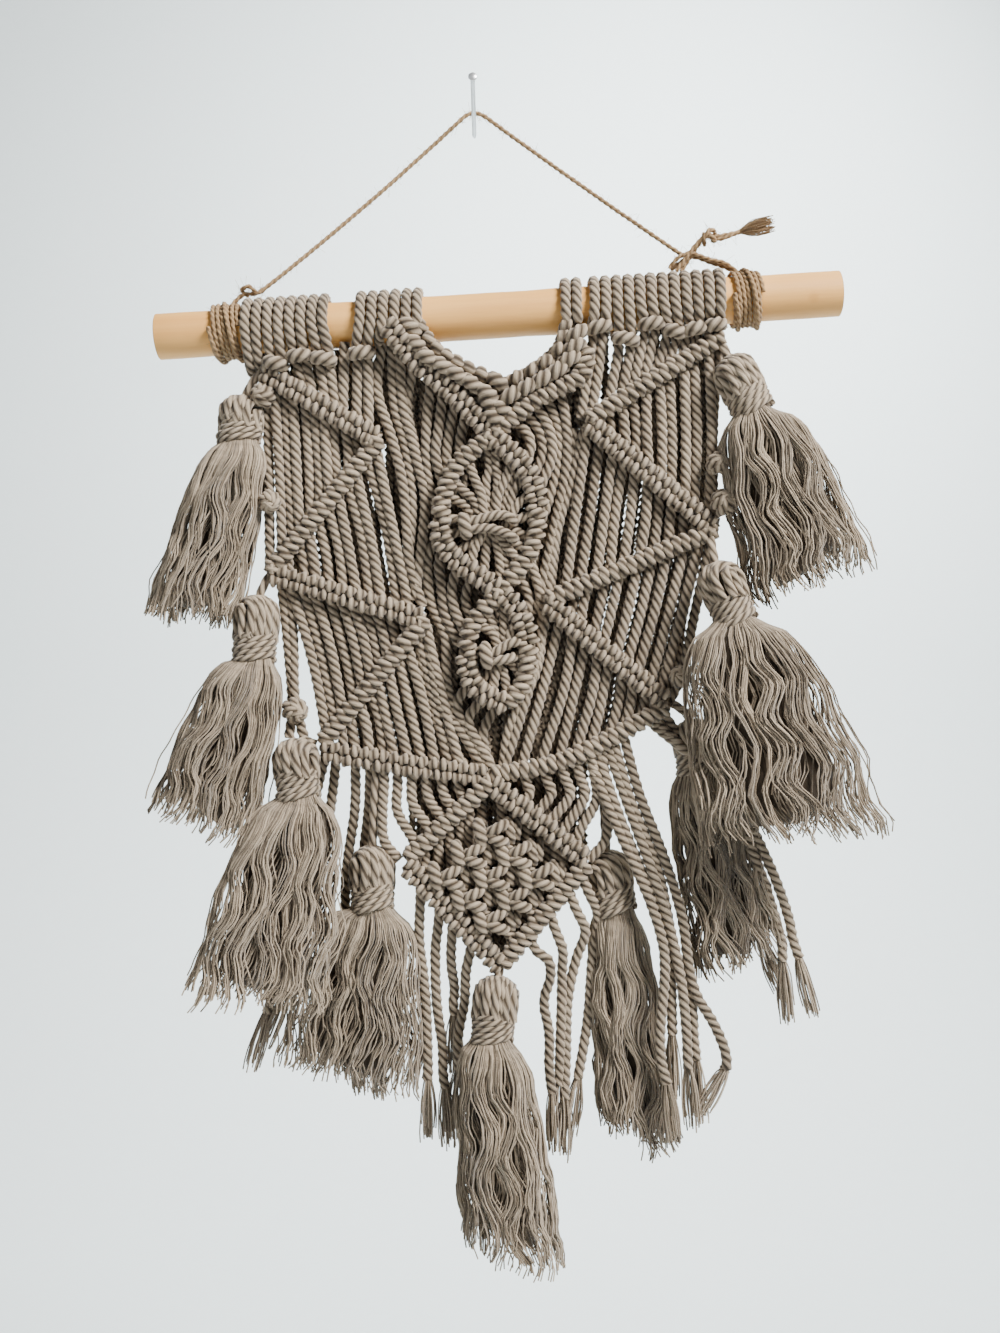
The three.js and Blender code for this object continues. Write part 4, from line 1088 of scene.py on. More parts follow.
# ------------------------------------------------------------------ the two leaves
# Inside each leaf the strands are gathered in one square knot: a bead of rope at its left and two ropes
# crossed over the others, which fan out from it to the bars above and below.
LEAF_ROPES = [
    [(-11, -170.5), (-7.4, -172.5), (-3.5, -175.1), (0.8, -180.5)],
    [(-7, -165.5), (-4.4, -168.6), (0, -172.1), (3, -180.6)],
    [(-1.5, -157.5), (0.8, -163.8), (3.4, -170), (4.4, -180)],
    [(6.4, -150), (7.1, -159), (5.6, -164.7), (6.5, -180.6)],
    [(9.6, -152), (10, -159), (10.8, -163.4), (8.6, -180)],
    [(17, -156), (15.2, -161.2), (10.8, -170.8), (10, -180.6)],
    [(18.6, -160), (15.6, -166.8), (14.3, -172.1), (12.8, -180.6)],
    [(22.6, -163), (18.7, -166.8), (16.5, -172.1), (15, -179.3)],
    [(26.5, -170), (22.1, -172.1), (18.7, -175.5), (15.6, -181)],
    [(-13, -180), (-8.7, -180.8), (-5.3, -181.6), (-2, -182.4)],
    [(-13, -188.6), (-8.7, -187.3), (-4.4, -186.4), (-1, -185.6)],
    [(13, -184.5), (15.9, -182.9), (19.1, -181.2), (26.5, -179)],
    [(12.6, -185.4), (15.2, -186), (19.1, -186.4), (26.5, -190)],
    [(6, -185.5), (4.3, -188.4), (0, -191.2), (-9.5, -196)],
    [(4.6, -186.5), (1.3, -192.5), (0, -196), (-1.5, -202)],
    [(6.6, -185), (6, -188.6), (5.4, -196), (4.4, -208)],
    [(8.6, -185), (9.7, -189), (11.3, -196.8), (12.1, -210)],
    [(10.5, -186), (11.9, -189.5), (15.6, -194.2), (21.5, -201)],
    [(9.6, -186.5), (13, -196.8), (15.2, -203.2), (16.5, -209)],
    [(12.6, -187), (15.6, -190.3), (18.2, -191.6), (25, -195)],
    [(1.5, -226), (5.6, -228.6), (8.4, -230.4), (11.1, -238)],
    [(6.4, -219.5), (7.8, -225.5), (10.4, -230.3), (12, -238)],
    [(13.2, -215), (13.4, -224.7), (13.4, -231.6), (13.4, -238)],
    [(20.5, -224), (17, -229), (15, -233), (14.4, -238)],
    [(1, -252), (5, -249.6), (8, -246), (10.6, -240)],
    [(11.9, -241), (12.8, -246.4), (14.2, -252.1), (14.2, -260)],
    [(8.5, -257), (9.4, -250), (11, -244), (12, -240)],
    [(22, -250), (18.6, -246), (16, -243), (14, -240)],
    [(-2, -238), (1, -238), (5, -239.4), (10, -240)],
]
LEAF_CROSSINGS = [
    [(-3, -185), (-1, -182.9), (4.3, -181), (13, -179.7), (16.5, -181), (17.6, -183.4)],
    [(-3, -184), (-0.7, -185.7), (6.5, -185.3), (13, -187), (16.9, -189.2), (18.4, -190)],
    [(6.6, -241.4), (8.7, -239.5), (14.3, -235.8), (18, -234.3), (21, -233)],
    [(7, -241.4), (9.5, -242.5), (15.6, -241.4), (19, -240)],
]
LEAF_BEADS = [((-4.2, -180.6), (-2.6, -188)), ((5, -236.4), (6.4, -244))]
LEAF_ROPE = ROPE_RADIUS * 0.9
CROSSING_ROPE = 0.0023
CROSSING_Y = FRONT_Y - 4.6
LEAF_BEAD_ROPE = 0.0031
LEAF_BEAD_Y = FRONT_Y - 4.4

gathered = []
for number, row in enumerate(LEAF_ROPES):
    gathered.append((flat(row, FRONT_Y + 0.6 - 0.9 * (number % 3)), LEAF_ROPE))
for row in LEAF_CROSSINGS:
    depths = [FRONT_Y + 1, *[CROSSING_Y] * (len(row) - 2), FRONT_Y + 1]
    bends = [mm(x, y, z) for (x, z), y in zip(row, depths)]
    gathered.append((smooth(bends, 5), CROSSING_ROPE))
for (x, z), (far_x, far_z) in LEAF_BEADS:
    start, end = mm(x, LEAF_BEAD_Y, z), mm(far_x, LEAF_BEAD_Y, far_z)
    gathered.append(plump(drawn_over(start, end, BEAD_LIFT), LEAF_BEAD_ROPE))
leaf_ropes = sweep("leaf_ropes", gathered, three_ply, KNOT_SIZES, cotton)
settle(leaf_ropes, "cotton_rope", "net")

# ------------------------------------------------------------------ the lower bars and their loose ropes
# The two lowest bars meet over the diamond. Ropes hang from them to different lengths, and each cut end
# has come open into its yarns.
BOTTOM_ROPES = [  # the bar and place each hangs from, and its bends down to its cut end
    ("left5", 0.03, [(-69, -14, -300), (-76, -10, -337.5), (-88, -8, -384), (-99, -6, -424)]),
    ("left5", 0.09, [(-62, -14, -300), (-68, -10, -337.5), (-80, -8, -382), (-93, -6, -415)]),
    ("left5", 0.2, [(-52, -15, -306), (-57, -9, -342.5), (-54, -7, -390), (-50, -7, -434)]),
    ("left5", 0.29, [(-46, -15, -306), (-50, -9, -342.5), (-46, -7, -390), (-42, -6, -438)]),
    ("right5", 0.03, [(96, -14, -285), (104, -9, -317.5), (122, -7, -352), (138, -6, -391)]),
    ("right5", 0.12, [(112, -20, -300), (129.1, -18, -330.3), (138.6, -16, -355.5), (150, -14, -398)]),
    ("right5", 0.09, [(108, -20, -300), (123.9, -19, -330.3), (134.5, -17, -363), (138, -16, -400)]),
    ("right5", 0.26, [
        (72, -25, -300), (82, -27, -326), (90, -27, -352), (93.5, -27, -376), (96.7, -27, -387),
        (103.4, -27, -398), (108.6, -27, -410), (109.6, -26, -418), (99, -26, -437),
    ]),
    ("right5", 0.32, [
        (68, -25, -302), (80, -26, -333), (87, -25, -366), (94.8, -25, -392), (99, -24, -441),
    ]),
    ("right5", 0.36, [
        (66, -25, -302), (76, -28, -330), (85, -28, -358), (89.6, -28, -380), (95, -27, -444),
    ]),
    ("right5", 0.42, [
        (62, -25, -306), (72.4, -27, -332.4), (79.7, -27, -350), (85.4, -25, -374), (87, -25, -430),
    ]),
    ("right5", 0.47, [
        (58, -25, -304), (68, -28, -327), (77, -29, -348), (82.4, -29, -369), (80.6, -29, -403),
        (87, -28, -450),
    ]),
]
BEHIND_BAR = 1  # how far behind a bar's middle its ropes start, in millimetres
FRAY_LENGTH = 0.026
FRAY_BACK = 0.004  # how far up in the rope its open yarns start
FRAY_PAST = 0.002  # how far past the rope's end the longest of them reach
FRAY_YARNS = 30
FRAY_SPREAD = 0.0046
YARN_RADIUS = 0.00036
YARN_FIBRE = (2.0, 26.0)


def loose_ropes(name, rows, node, seed):
    """Hanging ropes and the open yarns at their ends, as two pieces."""
    chance = random.Random(seed)
    ropes, yarns = [], []
    for number, (bar, share, row) in enumerate(rows):
        start = on_bar(bar, share) + mm(0, BEHIND_BAR, 0)
        *bends, end = [mm(*bend) for bend in row]
        opening = end.lerp(bends[-1], min(FRAY_LENGTH / (end - bends[-1]).length, 0.9))
        sway = mm(chance.gauss(0, 0.7), chance.gauss(0, 0.6), 0)
        swung = bends[-1].lerp(opening, 0.55) + sway
        ropes.append((smooth([start, *bends, swung, opening], 6), ROPE_RADIUS))
        way = (end - opening).normalized()
        fray = opening - way * FRAY_BACK, end + way * FRAY_PAST
        yarns += brush(*fray, FRAY_YARNS, FRAY_SPREAD, YARN_RADIUS, seed + number)
    hung = sweep(name + "_ropes", ropes, three_ply, ROPE_SIZES, cotton)
    settle(hung, "cotton_rope", node)
    frayed = sweep(name + "_frays", yarns, hair_tree, {}, yarn)
    settle(frayed, "cotton_rope", node)


yarn = spun("cotton_yarn", COTTON_PALE, COTTON_DARK, 0.0, COTTON_FIXED, YARN_FIBRE, variety=0.6, shade=0.36)
hitched("lower_bars", [("right5", 0, 1)], [("left5", 0, 1)], "lower_fringe")
loose_ropes("lower_fringe", BOTTOM_ROPES, "lower_fringe", 70)

# ------------------------------------------------------------------ the diamond
# Ropes come down in arcs from the lowest bars to four bars that frame a small net of nine square knots,
# tied in rows of one, two, three, two and one, with short links between them.
ARCS = [
    [(-38.7, -289), (-38.7, -296.7), (-39.4, -309), (-38.6, -320.7), (-32, -329)],
    [(-32.9, -289), (-32.9, -296.9), (-33.1, -307.6), (-26.8, -319), (-24, -324)],
    [(-26.8, -289), (-26.8, -297.1), (-26.3, -304.6), (-20, -314), (-18, -318)],
    [(-20.3, -290), (-20.3, -297.1), (-18.9, -303.2), (-14.5, -309.4), (-12, -313)],
    [(-13.3, -291), (-13.3, -297.8), (-11.9, -302.4), (-8.6, -305.9), (-6.5, -308)],
    [(-6, -291), (-6, -298.4), (-4, -301.9), (-1.5, -303.4)],
    [(22.6, -290), (23.5, -296.5), (24.8, -299.1), (23.5, -301.9), (19.5, -305)],
    [(31, -288), (32.2, -294.5), (34.2, -299.8), (30.1, -305.9), (26.5, -310)],
    [(38.4, -286), (39.6, -292.3), (42.3, -300.5), (34.9, -310.5), (32, -314)],
    [(45, -285), (46.2, -291.8), (48.9, -300.5), (40.9, -313.9), (38, -319)],
    [(51, -282), (52.3, -290.4), (53.7, -302.5), (45.6, -317.9), (44, -324)],
    [(56, -280), (57, -288.4), (58.3, -302.5), (57.6, -320.6), (50, -329)],
]
INNER_FANS = [
    {"above": "diamond1", "from": (0.9, 0.1), "below": "diamond2", "to": (0.08, 0.86), "count": 7, "bow": 0},
    {"above": "diamond3", "from": (0.1, 0.9), "below": "diamond4", "to": (0.86, 0.08), "count": 7, "bow": 0},
]
DIAMOND_ROPES = [
    ("diamond2", 0.16, [
        (-23.5, -20, -359), (-23.4, -19, -366.5), (-21.8, -18, -379.9), (-20.6, -17, -395), (-20, -17, -415),
        (-20, -16, -452),
    ]),
    ("diamond2", 0.36, [
        (-15.6, -20, -361), (-16.4, -19, -366.5), (-16.1, -17, -391.2), (-13.4, -15, -414), (-11, -13, -456),
    ]),
    ("diamond2", 0.5, [(-9.5, -20, -367), (-9.6, -18, -375), (-8.3, -14, -387.5), (-9, -9, -424)]),
    ("diamond2", 0.72, [(-2.4, -21, -374), (-3.3, -19, -380), (-3.8, -16, -392), (-9, -12, -448)]),
    ("diamond4", 0.08, [
        (51.1, -21, -345), (54.5, -18, -353.2), (52.3, -15, -373.4), (50.6, -14, -398), (42, -13, -452),
    ]),
    ("diamond4", 0.22, [
        (45, -22, -351), (49, -20, -360), (45.1, -17, -373.4), (41.6, -16, -391), (39.5, -14, -461),
    ]),
    ("diamond4", 0.44, [
        (36, -22, -360), (39, -21, -368), (38.9, -18, -379), (38.6, -17, -397), (37, -13, -455),
    ]),
    ("diamond4", 0.66, [
        (27, -22, -368), (32.8, -22, -372.7), (33.8, -20, -380), (31, -18, -391.4), (33.3, -17, -406),
        (36, -14, -458),
    ]),
]
KNOT_ROWS = (1, 2, 3, 2, 1)
TOP_KNOT = (8.5, -24.5, -317)
KNOTS_APART = (19.4, 9.4)  # across and down
SQUARE_KNOT = [  # each rope's two ends, across and up from the knot's middle, how proud, and its radius
    (-6.4, 4.4, -4, -4.8, 1.8, 3.1),
    (-1.6, 0.2, 5.2, 4.2, 2.4, 2.7),
    (-1.2, -1.6, 5.4, -3.8, 2.8, 2.7),
    (6.8, 5.4, 8.2, -3.6, -0.4, 2.4),
    (10.6, 4.6, 10.4, -2.6, -1.8, 2.2),
]
LINKS = [(3.5, -3, 7.5, -7), (-3.5, -3, -7.5, -7)]  # down to the two knots of the next row
LINK_ROPE = 0.0021
BEHIND_DIAMOND = [  # the working ropes behind the diamond: across, and their two ends up
    (-26.8, -291, -331), (-22.2, -291, -340), (-17.6, -291, -346),
    (-13, -292, -352), (-8.4, -292, -357), (-3.8, -293, -362), (0.8, -294, -367), (5.4, -294, -371),
    (10, -294, -374), (14.6, -294, -372), (19.2, -293, -368), (23.8, -292, -363), (28.4, -291, -358),
    (33, -290, -353), (37.6, -289, -347), (42.2, -288, -341), (46.8, -287, -333),
]

hitched("upper_diamond_bars", [("diamond1", 0, 1)], [("diamond3", 0, 1)], "diamond")
tied_net = [(flat(row, FRONT_Y + 1 + 0.8 * (number % 2)), ROPE_RADIUS) for number, row in enumerate(ARCS)]
tied_net += fan_lines(INNER_FANS)
behind = working_ropes(BEHIND_DIAMOND, 8)
behind_diamond = sweep("behind_diamond", behind, hidden_ply, REAR_SIZES, cotton)
settle(behind_diamond, "cotton_rope", "diamond")
top_x, knot_y, top_z = TOP_KNOT
for row, count in enumerate(KNOT_ROWS):
    for number in range(count):
        x = top_x + KNOTS_APART[0] * (number - (count - 1) / 2)
        z = top_z - KNOTS_APART[1] * row
        for right, up, far_right, far_up, proud, radius in SQUARE_KNOT:
            start = mm(x + right, knot_y - proud, z + up)
            end = mm(x + far_right, knot_y - proud, z + far_up)
            tied_net.append(plump(drawn_over(start, end, KNOT_LIFT), radius / 1000))
        for right, up, far_right, far_up in LINKS:
            link = flat([(x + right, z + up), (x + far_right, z + far_up)], knot_y, 6)
            tied_net.append((link, LINK_ROPE))
diamond_net = sweep("diamond_net", tied_net, three_ply, KNOT_SIZES, cotton)
settle(diamond_net, "cotton_rope", "diamond")
hitched("lower_diamond_bars", [("diamond4", 0, 1)], [("diamond2", 0, 1)], "diamond_fringe")
loose_ropes("diamond_fringe", DIAMOND_ROPES, "diamond_fringe", 90)

# ------------------------------------------------------------------ the nine tassels
# A bundle of rope is folded over its tie, wrapped with a band of five turns, and combed out below into
# hundreds of crimped yarns, which swell out at once under the band and hang in loose wavy locks.

# Where each is tied on, its crown, neck and end, in millimetres, then half the width and depth of its
# skirt at the end, how far the rim there tilts, and how far its head is turned, in degrees.
TASSELS = [
    {
        "name": "left_top", "tied": (-92, -21, -116.5),
        "top": (-100, -20, -126.5), "neck": (-102, -22, -148.5), "end": (-123, -22, -225.5),
        "wide": 20, "deep": 15, "tilt": 0, "turned": 20,
    },
    {
        "name": "left_middle", "tied": (-88, -21, -204.5),
        "top": (-93, -23, -213.5), "neck": (-95, -25, -243.5), "end": (-118, -25, -313.5),
        "wide": 21, "deep": 15, "tilt": -16, "turned": -35,
    },
    {
        "name": "left_low", "tied": (-69, -21, -278.5),
        "top": (-77, -25, -275.5), "neck": (-75, -29, -302.5), "end": (-93, -36, -388.5),
        "wide": 30, "deep": 13, "tilt": -4, "turned": 35,
    },
    {
        "name": "left_inner", "tied": (-42, -21, -285.5),
        "top": (-44, -20, -322.5), "neck": (-44, -20, -351.5), "end": (-55, -15, -427.5),
        "wide": 33, "deep": 8, "tilt": -12, "turned": -25,
    },
    {
        "name": "bottom", "tied": (12, -23, -373.5),
        "top": (11, -25, -378), "neck": (8, -29, -406.5), "end": (18, -28, -499.5),
        "wide": 22, "deep": 17, "tilt": -8, "turned": 15,
    },
    {
        "name": "right_top", "tied": (107, -21, -102.5),
        "top": (110, -25, -110.5), "neck": (122, -27, -136.5), "end": (146, -25, -209.5),
        "wide": 27, "deep": 17, "tilt": 16, "turned": -15,
    },
    {
        "name": "right_middle", "tied": (103, -21, -185.5),
        "top": (103, -32, -200.5), "neck": (112, -40, -227.5), "end": (135, -42, -317.5),
        "wide": 40, "deep": 15, "tilt": 8, "turned": 70,
    },
    {
        "name": "right_low", "tied": (86, -21, -260.5),
        "top": (97, -12, -267.5), "neck": (99, -15, -291.5), "end": (118, -15, -375.5),
        "wide": 20, "deep": 8, "tilt": 10, "turned": 30,
    },
    {
        "name": "right_inner", "tied": (56, -21, -278.5),
        "top": (58, -14, -325.5), "neck": (63, -14, -353.5), "end": (73, -12, -455.5),
        "wide": 17, "deep": 8, "tilt": -10, "turned": -40,
    },
]
LOCK_LAYERS = [  # the locks round the skirt, their yarns and a yarn's points, and how full a lock is
    {"locks": 11, "size": 0.9, "yarns": 21, "points": 25, "round": 2.6},
    {"locks": 8, "size": 0.66, "yarns": 12, "points": 12, "round": 1.2},
]
NECK_RADIUS = 7
SHOULDER = 0.3  # the smaller, the rounder a skirt swells out under its neck
CRIMP = 12.5  # length of one crimp, in millimetres
LONG_WAVE = 34  # length of one wave of a lock
WAVE_TURN = 6.28  # radians in a wave or a crimp, sideways
CRIMP_TURN_OUT = 5.6  # radians in a crimp outward, fewer than sideways, so that the yarn curls round
STRAYS = 0.05  # the share of yarns that stand off their lock
RIM_PARTS = 240
HEAD_RADIUS = 8.2  # to the middle of its ropes
HEAD_ROPE = 0.0021
HEAD_ROPES = 9
HEAD_SIZES = {"Ring Spacing": 0.0022, "Lay Length": 0.019, "Ply Depth": 0.2}
HEAD_LEG = [(0.8, 0.8), (0.5, 0.95), (0.22, 0.95), (0.05, 0.58)]  # down from the crown, and forward
LEG_LENGTH = 0.72  # against the head's
HEAD_DOMED = 0.007  # how much lower the outermost ropes may lie than the middle one
TIE_DEPTH = 0.004  # how deep in the head its tie ends
BAND_ENDS = (0.0125, 0.0005)  # above the neck
BAND_SIZES = {
    "Pitch": 0.0025,
    "Turn Radius": 0.0082,
    "Slant": 0.0016,
    "Unevenness": 0.07,
    "Ring Spacing": 0.0018,
    "Lay Length": 0.015,
    "Ply Depth": 0.24,
}
BAND_ROPE = 0.0017
CORE_SIZE = 0.6
CORE_RIDGES = 9
CORE_CORNERS = 36
CORE_STATIONS = (-0.05, 0.02, 0.08, 0.18, 0.32, 0.5, 0.68, 0.82, 0.9)  # shares of the skirt's length
CORE_TIPS = (-0.08, 0.93)  # where its two ends close
STUFFING_SIDES = 20


def skirt_middle(row, share):
    return mm(*row["neck"]).lerp(mm(*row["end"]), share)


def skirt_point(row, share, angle, size):
    """A point on a skirt, at a share of its length and an angle round it, the skirt drawn in by size."""
    spread = max(share, 0) ** SHOULDER
    across = NECK_RADIUS + (row["wide"] * size - NECK_RADIUS) * spread
    deep = NECK_RADIUS + (row["deep"] * size - NECK_RADIUS) * spread
    rise = row["tilt"] / 2 * spread
    cos, sin = math.cos(angle), math.sin(angle)
    return skirt_middle(row, share) + mm(across * cos, -deep * sin, rise * cos)


def off_the_skirt(row, angle, swing, lift):
    """A move round the skirt and one out from it, both in millimetres, at an angle round it."""
    cos, sin = math.cos(angle), math.sin(angle)
    sideways = Vector((-row["wide"] * sin, -row["deep"] * cos, 0)).normalized()
    outward = Vector((row["deep"] * cos, -row["wide"] * sin, 0)).normalized()
    return (sideways * swing + outward * lift) / 1000


def even_angles(wide, deep):
    """Angles that part the rim of an oval into equal lengths, and one more to close it."""
    rim = [2 * math.pi * part / RIM_PARTS for part in range(RIM_PARTS + 1)]
    passed = [0]
    for near, far in zip(rim, rim[1:]):
        across = wide * (math.cos(far) - math.cos(near))
        forward = deep * (math.sin(far) - math.sin(near))
        passed.append(passed[-1] + math.hypot(across, forward))
    angles, place = [], 0
    for part in range(RIM_PARTS + 1):
        wanted = passed[-1] * part / RIM_PARTS
        while place < RIM_PARTS - 1 and passed[place + 1] < wanted:
            place += 1
        gap = (wanted - passed[place]) / (passed[place + 1] - passed[place])
        angles.append(rim[place] + (rim[place + 1] - rim[place]) * gap)
    return angles


def angle_round(angles, share):
    place = (share % 1) * RIM_PARTS
    low = int(place)
    return angles[low] + (angles[low + 1] - angles[low]) * (place - low)


def lock_yarn(row, angles, layer, lock, cut_short, chance):
    """One yarn of a lock. It sways with its lock in long waves, and has crimps of its own."""
    length = (Vector(row["end"]) - Vector(row["neck"])).length
    spot = chance.uniform(-1, 1)  # across the lock
    depth = layer["round"] * math.sqrt(1 - spot * spot) * chance.uniform(0.55, 1)
    long = lock["long"] * chance.uniform(0.93, 1.05)
    if cut_short:
        long *= chance.uniform(0.6, 0.9)
    crimp = chance.uniform(0.3, 0.85)
    own_phase = lock["crimp phase"] + chance.gauss(0, 0.9)
    stray = chance.uniform(2, 7) if chance.random() < STRAYS else 0
    loosened = chance.gauss(0, 1.7)
    wander = chance.gauss(0, 0.9)
    points = []
    for step in range(layer["points"]):
        share = long * (step / (layer["points"] - 1) * 1.04 - 0.04)
        down = max(share, 0)
        loose = down**0.7
        fill = 1.15 - 0.4 * down + 0.25 * max(down - 0.9, 0) * 10
        angle = angle_round(angles, (lock["number"] + 0.5 + 0.5 * spot * fill) / layer["locks"])
        waved = WAVE_TURN * length * down / lock["wave"]
        crimped = WAVE_TURN * length * down / CRIMP
        crimped_out = CRIMP_TURN_OUT * length * down / CRIMP
        swing = lock["sway"] * math.sin(lock["phase"] + waved) * min(down * 4, 1)
        swing += crimp * math.sin(own_phase + crimped) * (0.25 + 0.75 * loose)
        drift = wander * math.sin(lock["crimp phase"] + own_phase + 9 * down) * loose
        swing += loosened * down * down + drift
        lift = crimp * 0.7 * math.cos(own_phase + crimped_out) * (0.35 + 0.65 * loose)
        lift += lock["swell"] * math.sin(lock["phase"] * 2 + waved) * loose
        lift += stray * loose * math.sin(2.4 * down) + depth * min(down * 8, 1)
        point = skirt_point(row, share, angle, layer["size"])
        points.append(point + off_the_skirt(row, angle, swing, lift))
    return points


def skirt_yarns(row, chance):
    """Crimped yarns that keep together in locks, the first of each lock cut short."""
    angles = even_angles(row["wide"], row["deep"])
    yarns = []
    for layer in LOCK_LAYERS:
        for number in range(layer["locks"]):
            lock = {
                "number": number,
                "sway": chance.uniform(1.4, 3.4),
                "wave": LONG_WAVE * chance.uniform(0.75, 1.35),
                "phase": chance.uniform(0, 6.3),
                "crimp phase": chance.uniform(0, 6.3),
                "long": chance.uniform(0.92, 1),
                "swell": chance.uniform(-1.6, 1.6),
            }
            for yarn_number in range(layer["yarns"]):
                points = lock_yarn(row, angles, layer, lock, yarn_number == 0, chance)
                yarns.append((points, YARN_RADIUS))
    return yarns


def skirt_core(name, row, material):
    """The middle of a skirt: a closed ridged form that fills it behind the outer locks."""
    top, foot = CORE_TIPS
    points, faces = [skirt_middle(row, top)], []
    for share in CORE_STATIONS:
        narrowed = 1 - 0.35 * max(share - 0.8, 0) / 0.1
        for corner in range(CORE_CORNERS):
            angle = 2 * math.pi * corner / CORE_CORNERS
            ridge = 1 + 0.1 * math.sin(CORE_RIDGES * angle + 5 * share) * min(max(share, 0) * 5, 1)
            points.append(skirt_point(row, share, angle, CORE_SIZE * ridge * narrowed))
    points.append(skirt_middle(row, foot))
    last = 1 + (len(CORE_STATIONS) - 1) * CORE_CORNERS
    for corner in range(CORE_CORNERS):
        after = (corner + 1) % CORE_CORNERS
        faces.append((0, 1 + corner, 1 + after))
        for low in range(1, last, CORE_CORNERS):
            high = low + CORE_CORNERS
            faces.append((low + corner, high + corner, high + after, low + after))
        faces.append((last + corner, len(points) - 1, last + after))
    return smooth_piece(name, points, faces, material)


def head_ropes(top, neck, turned_by, chance):
    """Ropes side by side, up from the band in front, over the crown and down behind."""
    axis = (neck - top).normalized()
    length = (neck - top).length
    side = axis.cross(Vector((0, -1, 0))).normalized()
    front = side.cross(axis)
    side.rotate(Quaternion(axis, math.radians(turned_by)))
    front.rotate(Quaternion(axis, math.radians(turned_by)))
    ropes = []
    for rope in range(HEAD_ROPES):
        across = (rope - (HEAD_ROPES - 1) / 2) / (HEAD_ROPES / 2 - 0.35) + chance.gauss(0, 0.03)
        dome = math.sqrt(max(1 - 0.92 * across * across, 0.08))
        forward = HEAD_RADIUS * dome + (0.5 if rope % 2 else -0.4)
        back_leg = [(down, -ahead) for down, ahead in reversed(HEAD_LEG)]
        bends = []
        for down, ahead in [*HEAD_LEG, (0, 0), *back_leg]:
            drop = length * down * LEG_LENGTH + HEAD_ROPE + (1 - dome) * HEAD_DOMED * (1 - down)
            offset = side * across * HEAD_RADIUS + front * ahead * forward
            bends.append(top + axis * drop + offset / 1000)
        ropes.append((smooth(bends, 4), HEAD_ROPE))
    return ropes


# The tassels' core and stuffing are their yarn with more darkness painted in: painted shade for the inside
# of the skirt and the head.
core_yarn_painted_shade = spun(
    "packed_yarn_painted_shade", COTTON_PALE, COTTON_DARK, 0.0, COTTON_FIXED, YARN_FIBRE, variety=0.0, shade=0.55
)
for number, row in enumerate(TASSELS):
    node = "tassel_" + row["name"]
    chance = random.Random(200 + number)
    skirt = sweep(node + "_skirt", skirt_yarns(row, chance), hair_tree, {}, yarn)
    settle(skirt, "cotton_rope", node)
    core = skirt_core(node + "_core", row, core_yarn_painted_shade)
    settle(core, "cotton_rope", node)

    top, neck, tied = mm(*row["top"]), mm(*row["neck"]), mm(*row["tied"])
    axis = (neck - top).normalized()
    length = (neck - top).length
    bundle = head_ropes(top, neck, row["turned"], chance)
    tie = [tied, tied.lerp(top, 0.6) + mm(0, -1, 0), top + axis * TIE_DEPTH]
    bundle.append((smooth(tie, 4), HEAD_ROPE))
    head = sweep(node + "_head", bundle, three_ply, HEAD_SIZES, cotton)
    settle(head, "cotton_rope", node)
    band_line = [neck - axis * above for above in BAND_ENDS]
    band = sweep(node + "_band", [(band_line, BAND_ROPE)], winding, BAND_SIZES, cotton)
    settle(band, "cotton_rope", node)
    stuffing = [  # radius and distance down from the crown
        (0, 0.003),
        (0.0042, 0.005),
        (0.0072, length * 0.3),
        (0.0072, length),
        (0, length + 0.002),
    ]
    inside = turned(node + "_stuffing", stuffing, STUFFING_SIDES, top, neck, core_yarn_painted_shade)
    settle(inside, "cotton_rope", node)

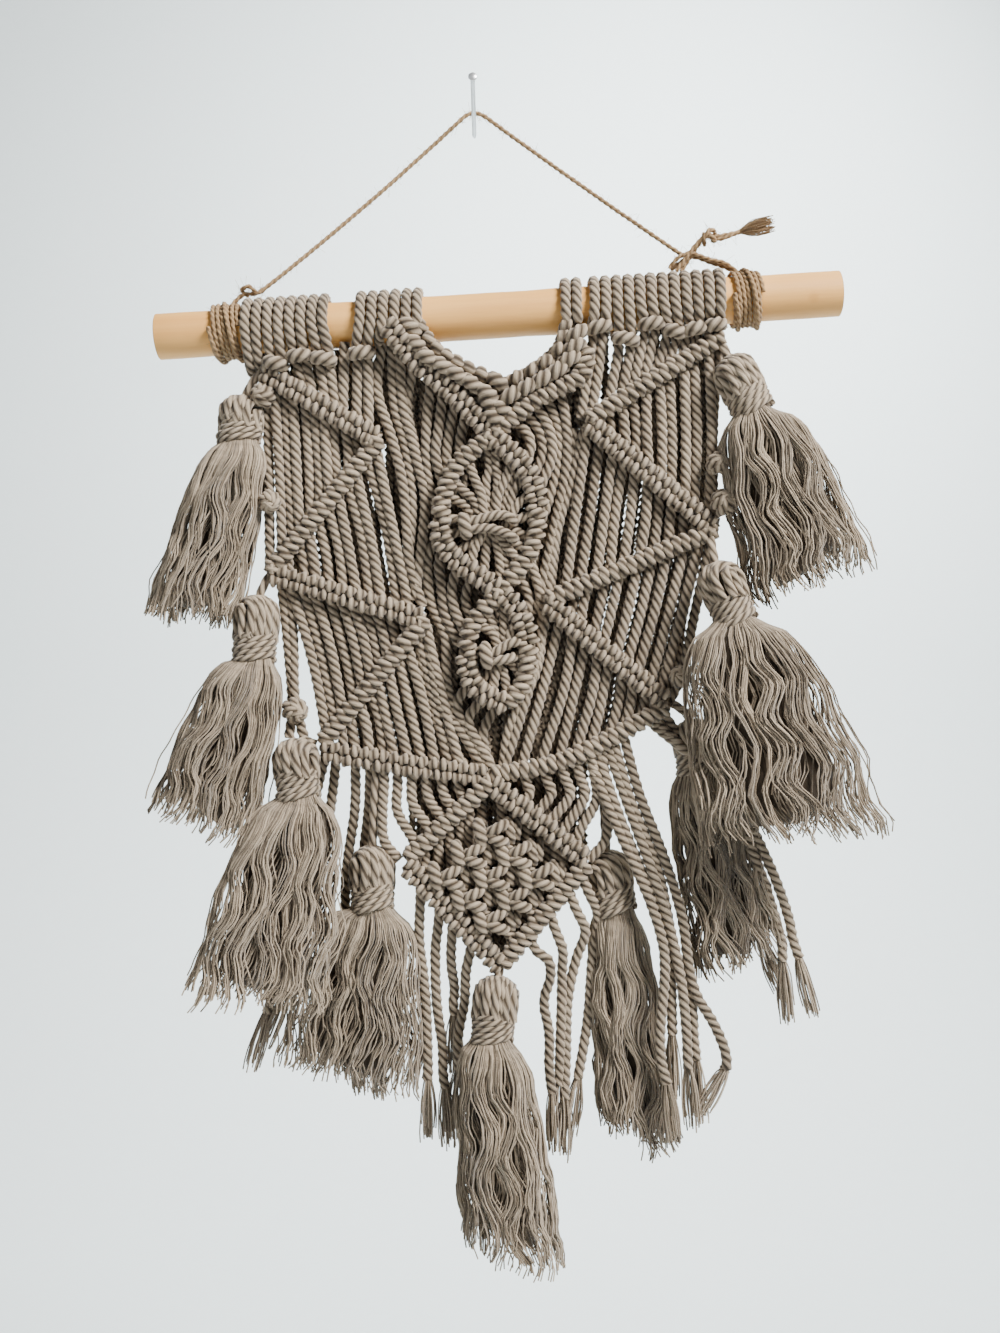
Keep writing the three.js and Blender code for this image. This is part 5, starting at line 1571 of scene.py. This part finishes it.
# ------------------------------------------------------------------ floor and light
# A pale sweep of floor and backdrop, well away from the hanging, under soft light from the right.
FLOOR_Z = -0.95
FLOOR_FRONT = -3.5
BACK_Y = 1.7
BACK_TOP = 3.5
SWEEP_RADIUS = 0.7
SWEEP_HALF_WIDTH = 4
SWEEP_PARTS = 12
PAPER_PALE = (0.83, 0.88, 0.89, 1)
PAPER_DARK = (0.80, 0.85, 0.87, 1)
HANGING_MIDDLE = (0.0117, -0.02, -0.25)
LIGHTS = [  # place, what it points at, size, power and colour
    {"at": (1, -0.95, 0.95), "to": HANGING_MIDDLE, "size": 0.6, "power": 44, "colour": (1, 0.97, 0.93)},
    {"at": (-1.3, -1.2, 0.3), "to": HANGING_MIDDLE, "size": 1.6, "power": 3.5, "colour": (0.94, 0.97, 1)},
    {"at": (0.6, 0.5, 1), "to": (-0.1, 1.7, -0.2), "size": 0.8, "power": 52, "colour": (0.94, 1, 0.99)},
]
LAMP_SPREAD = math.radians(125)
SKY = (0.78, 0.82, 0.84, 1)
SKY_STRENGTH = 0.16

paper, start = open_finish("pale_paper")
tooth = mottled(start.node("ShaderNodeTexCoord", output="Object"), 60.0)
close_finish(blended(tooth, PAPER_DARK, PAPER_PALE), 0.9 + tooth * 0.05, tooth, 0.05, {})

profile = [(FLOOR_FRONT, FLOOR_Z)]
for step in range(SWEEP_PARTS + 1):
    turn = math.pi / 2 * step / SWEEP_PARTS
    y = BACK_Y - SWEEP_RADIUS + SWEEP_RADIUS * math.sin(turn)
    profile.append((y, FLOOR_Z + SWEEP_RADIUS - SWEEP_RADIUS * math.cos(turn)))
profile.append((BACK_Y, BACK_TOP))
corners = [(x, y, z) for y, z in profile for x in (-SWEEP_HALF_WIDTH, SWEEP_HALF_WIDTH)]
faces = [(2 * n, 2 * n + 1, 2 * n + 3, 2 * n + 2) for n in range(len(profile) - 1)]
pale_sweep = smooth_piece("pale_sweep", corners, faces, paper)

for number, row in enumerate(LIGHTS):
    lamp = bpy.data.lights.new(f"soft_light_{number}", "AREA")
    lamp.shape = "SQUARE"
    lamp.size = row["size"]
    lamp.energy = row["power"]
    lamp.color = row["colour"]
    lamp.spread = LAMP_SPREAD
    light = bpy.data.objects.new(f"soft_light_{number}", lamp)
    light.location = row["at"]
    light.rotation_mode = "QUATERNION"
    light.rotation_quaternion = (Vector(row["to"]) - light.location).to_track_quat("-Z", "Y")
    bpy.context.scene.collection.objects.link(light)

world = bpy.data.worlds.new("pale_room")
world.use_nodes = True
world.node_tree.nodes["Background"].inputs["Color"].default_value = SKY
world.node_tree.nodes["Background"].inputs["Strength"].default_value = SKY_STRENGTH
bpy.context.scene.world = world
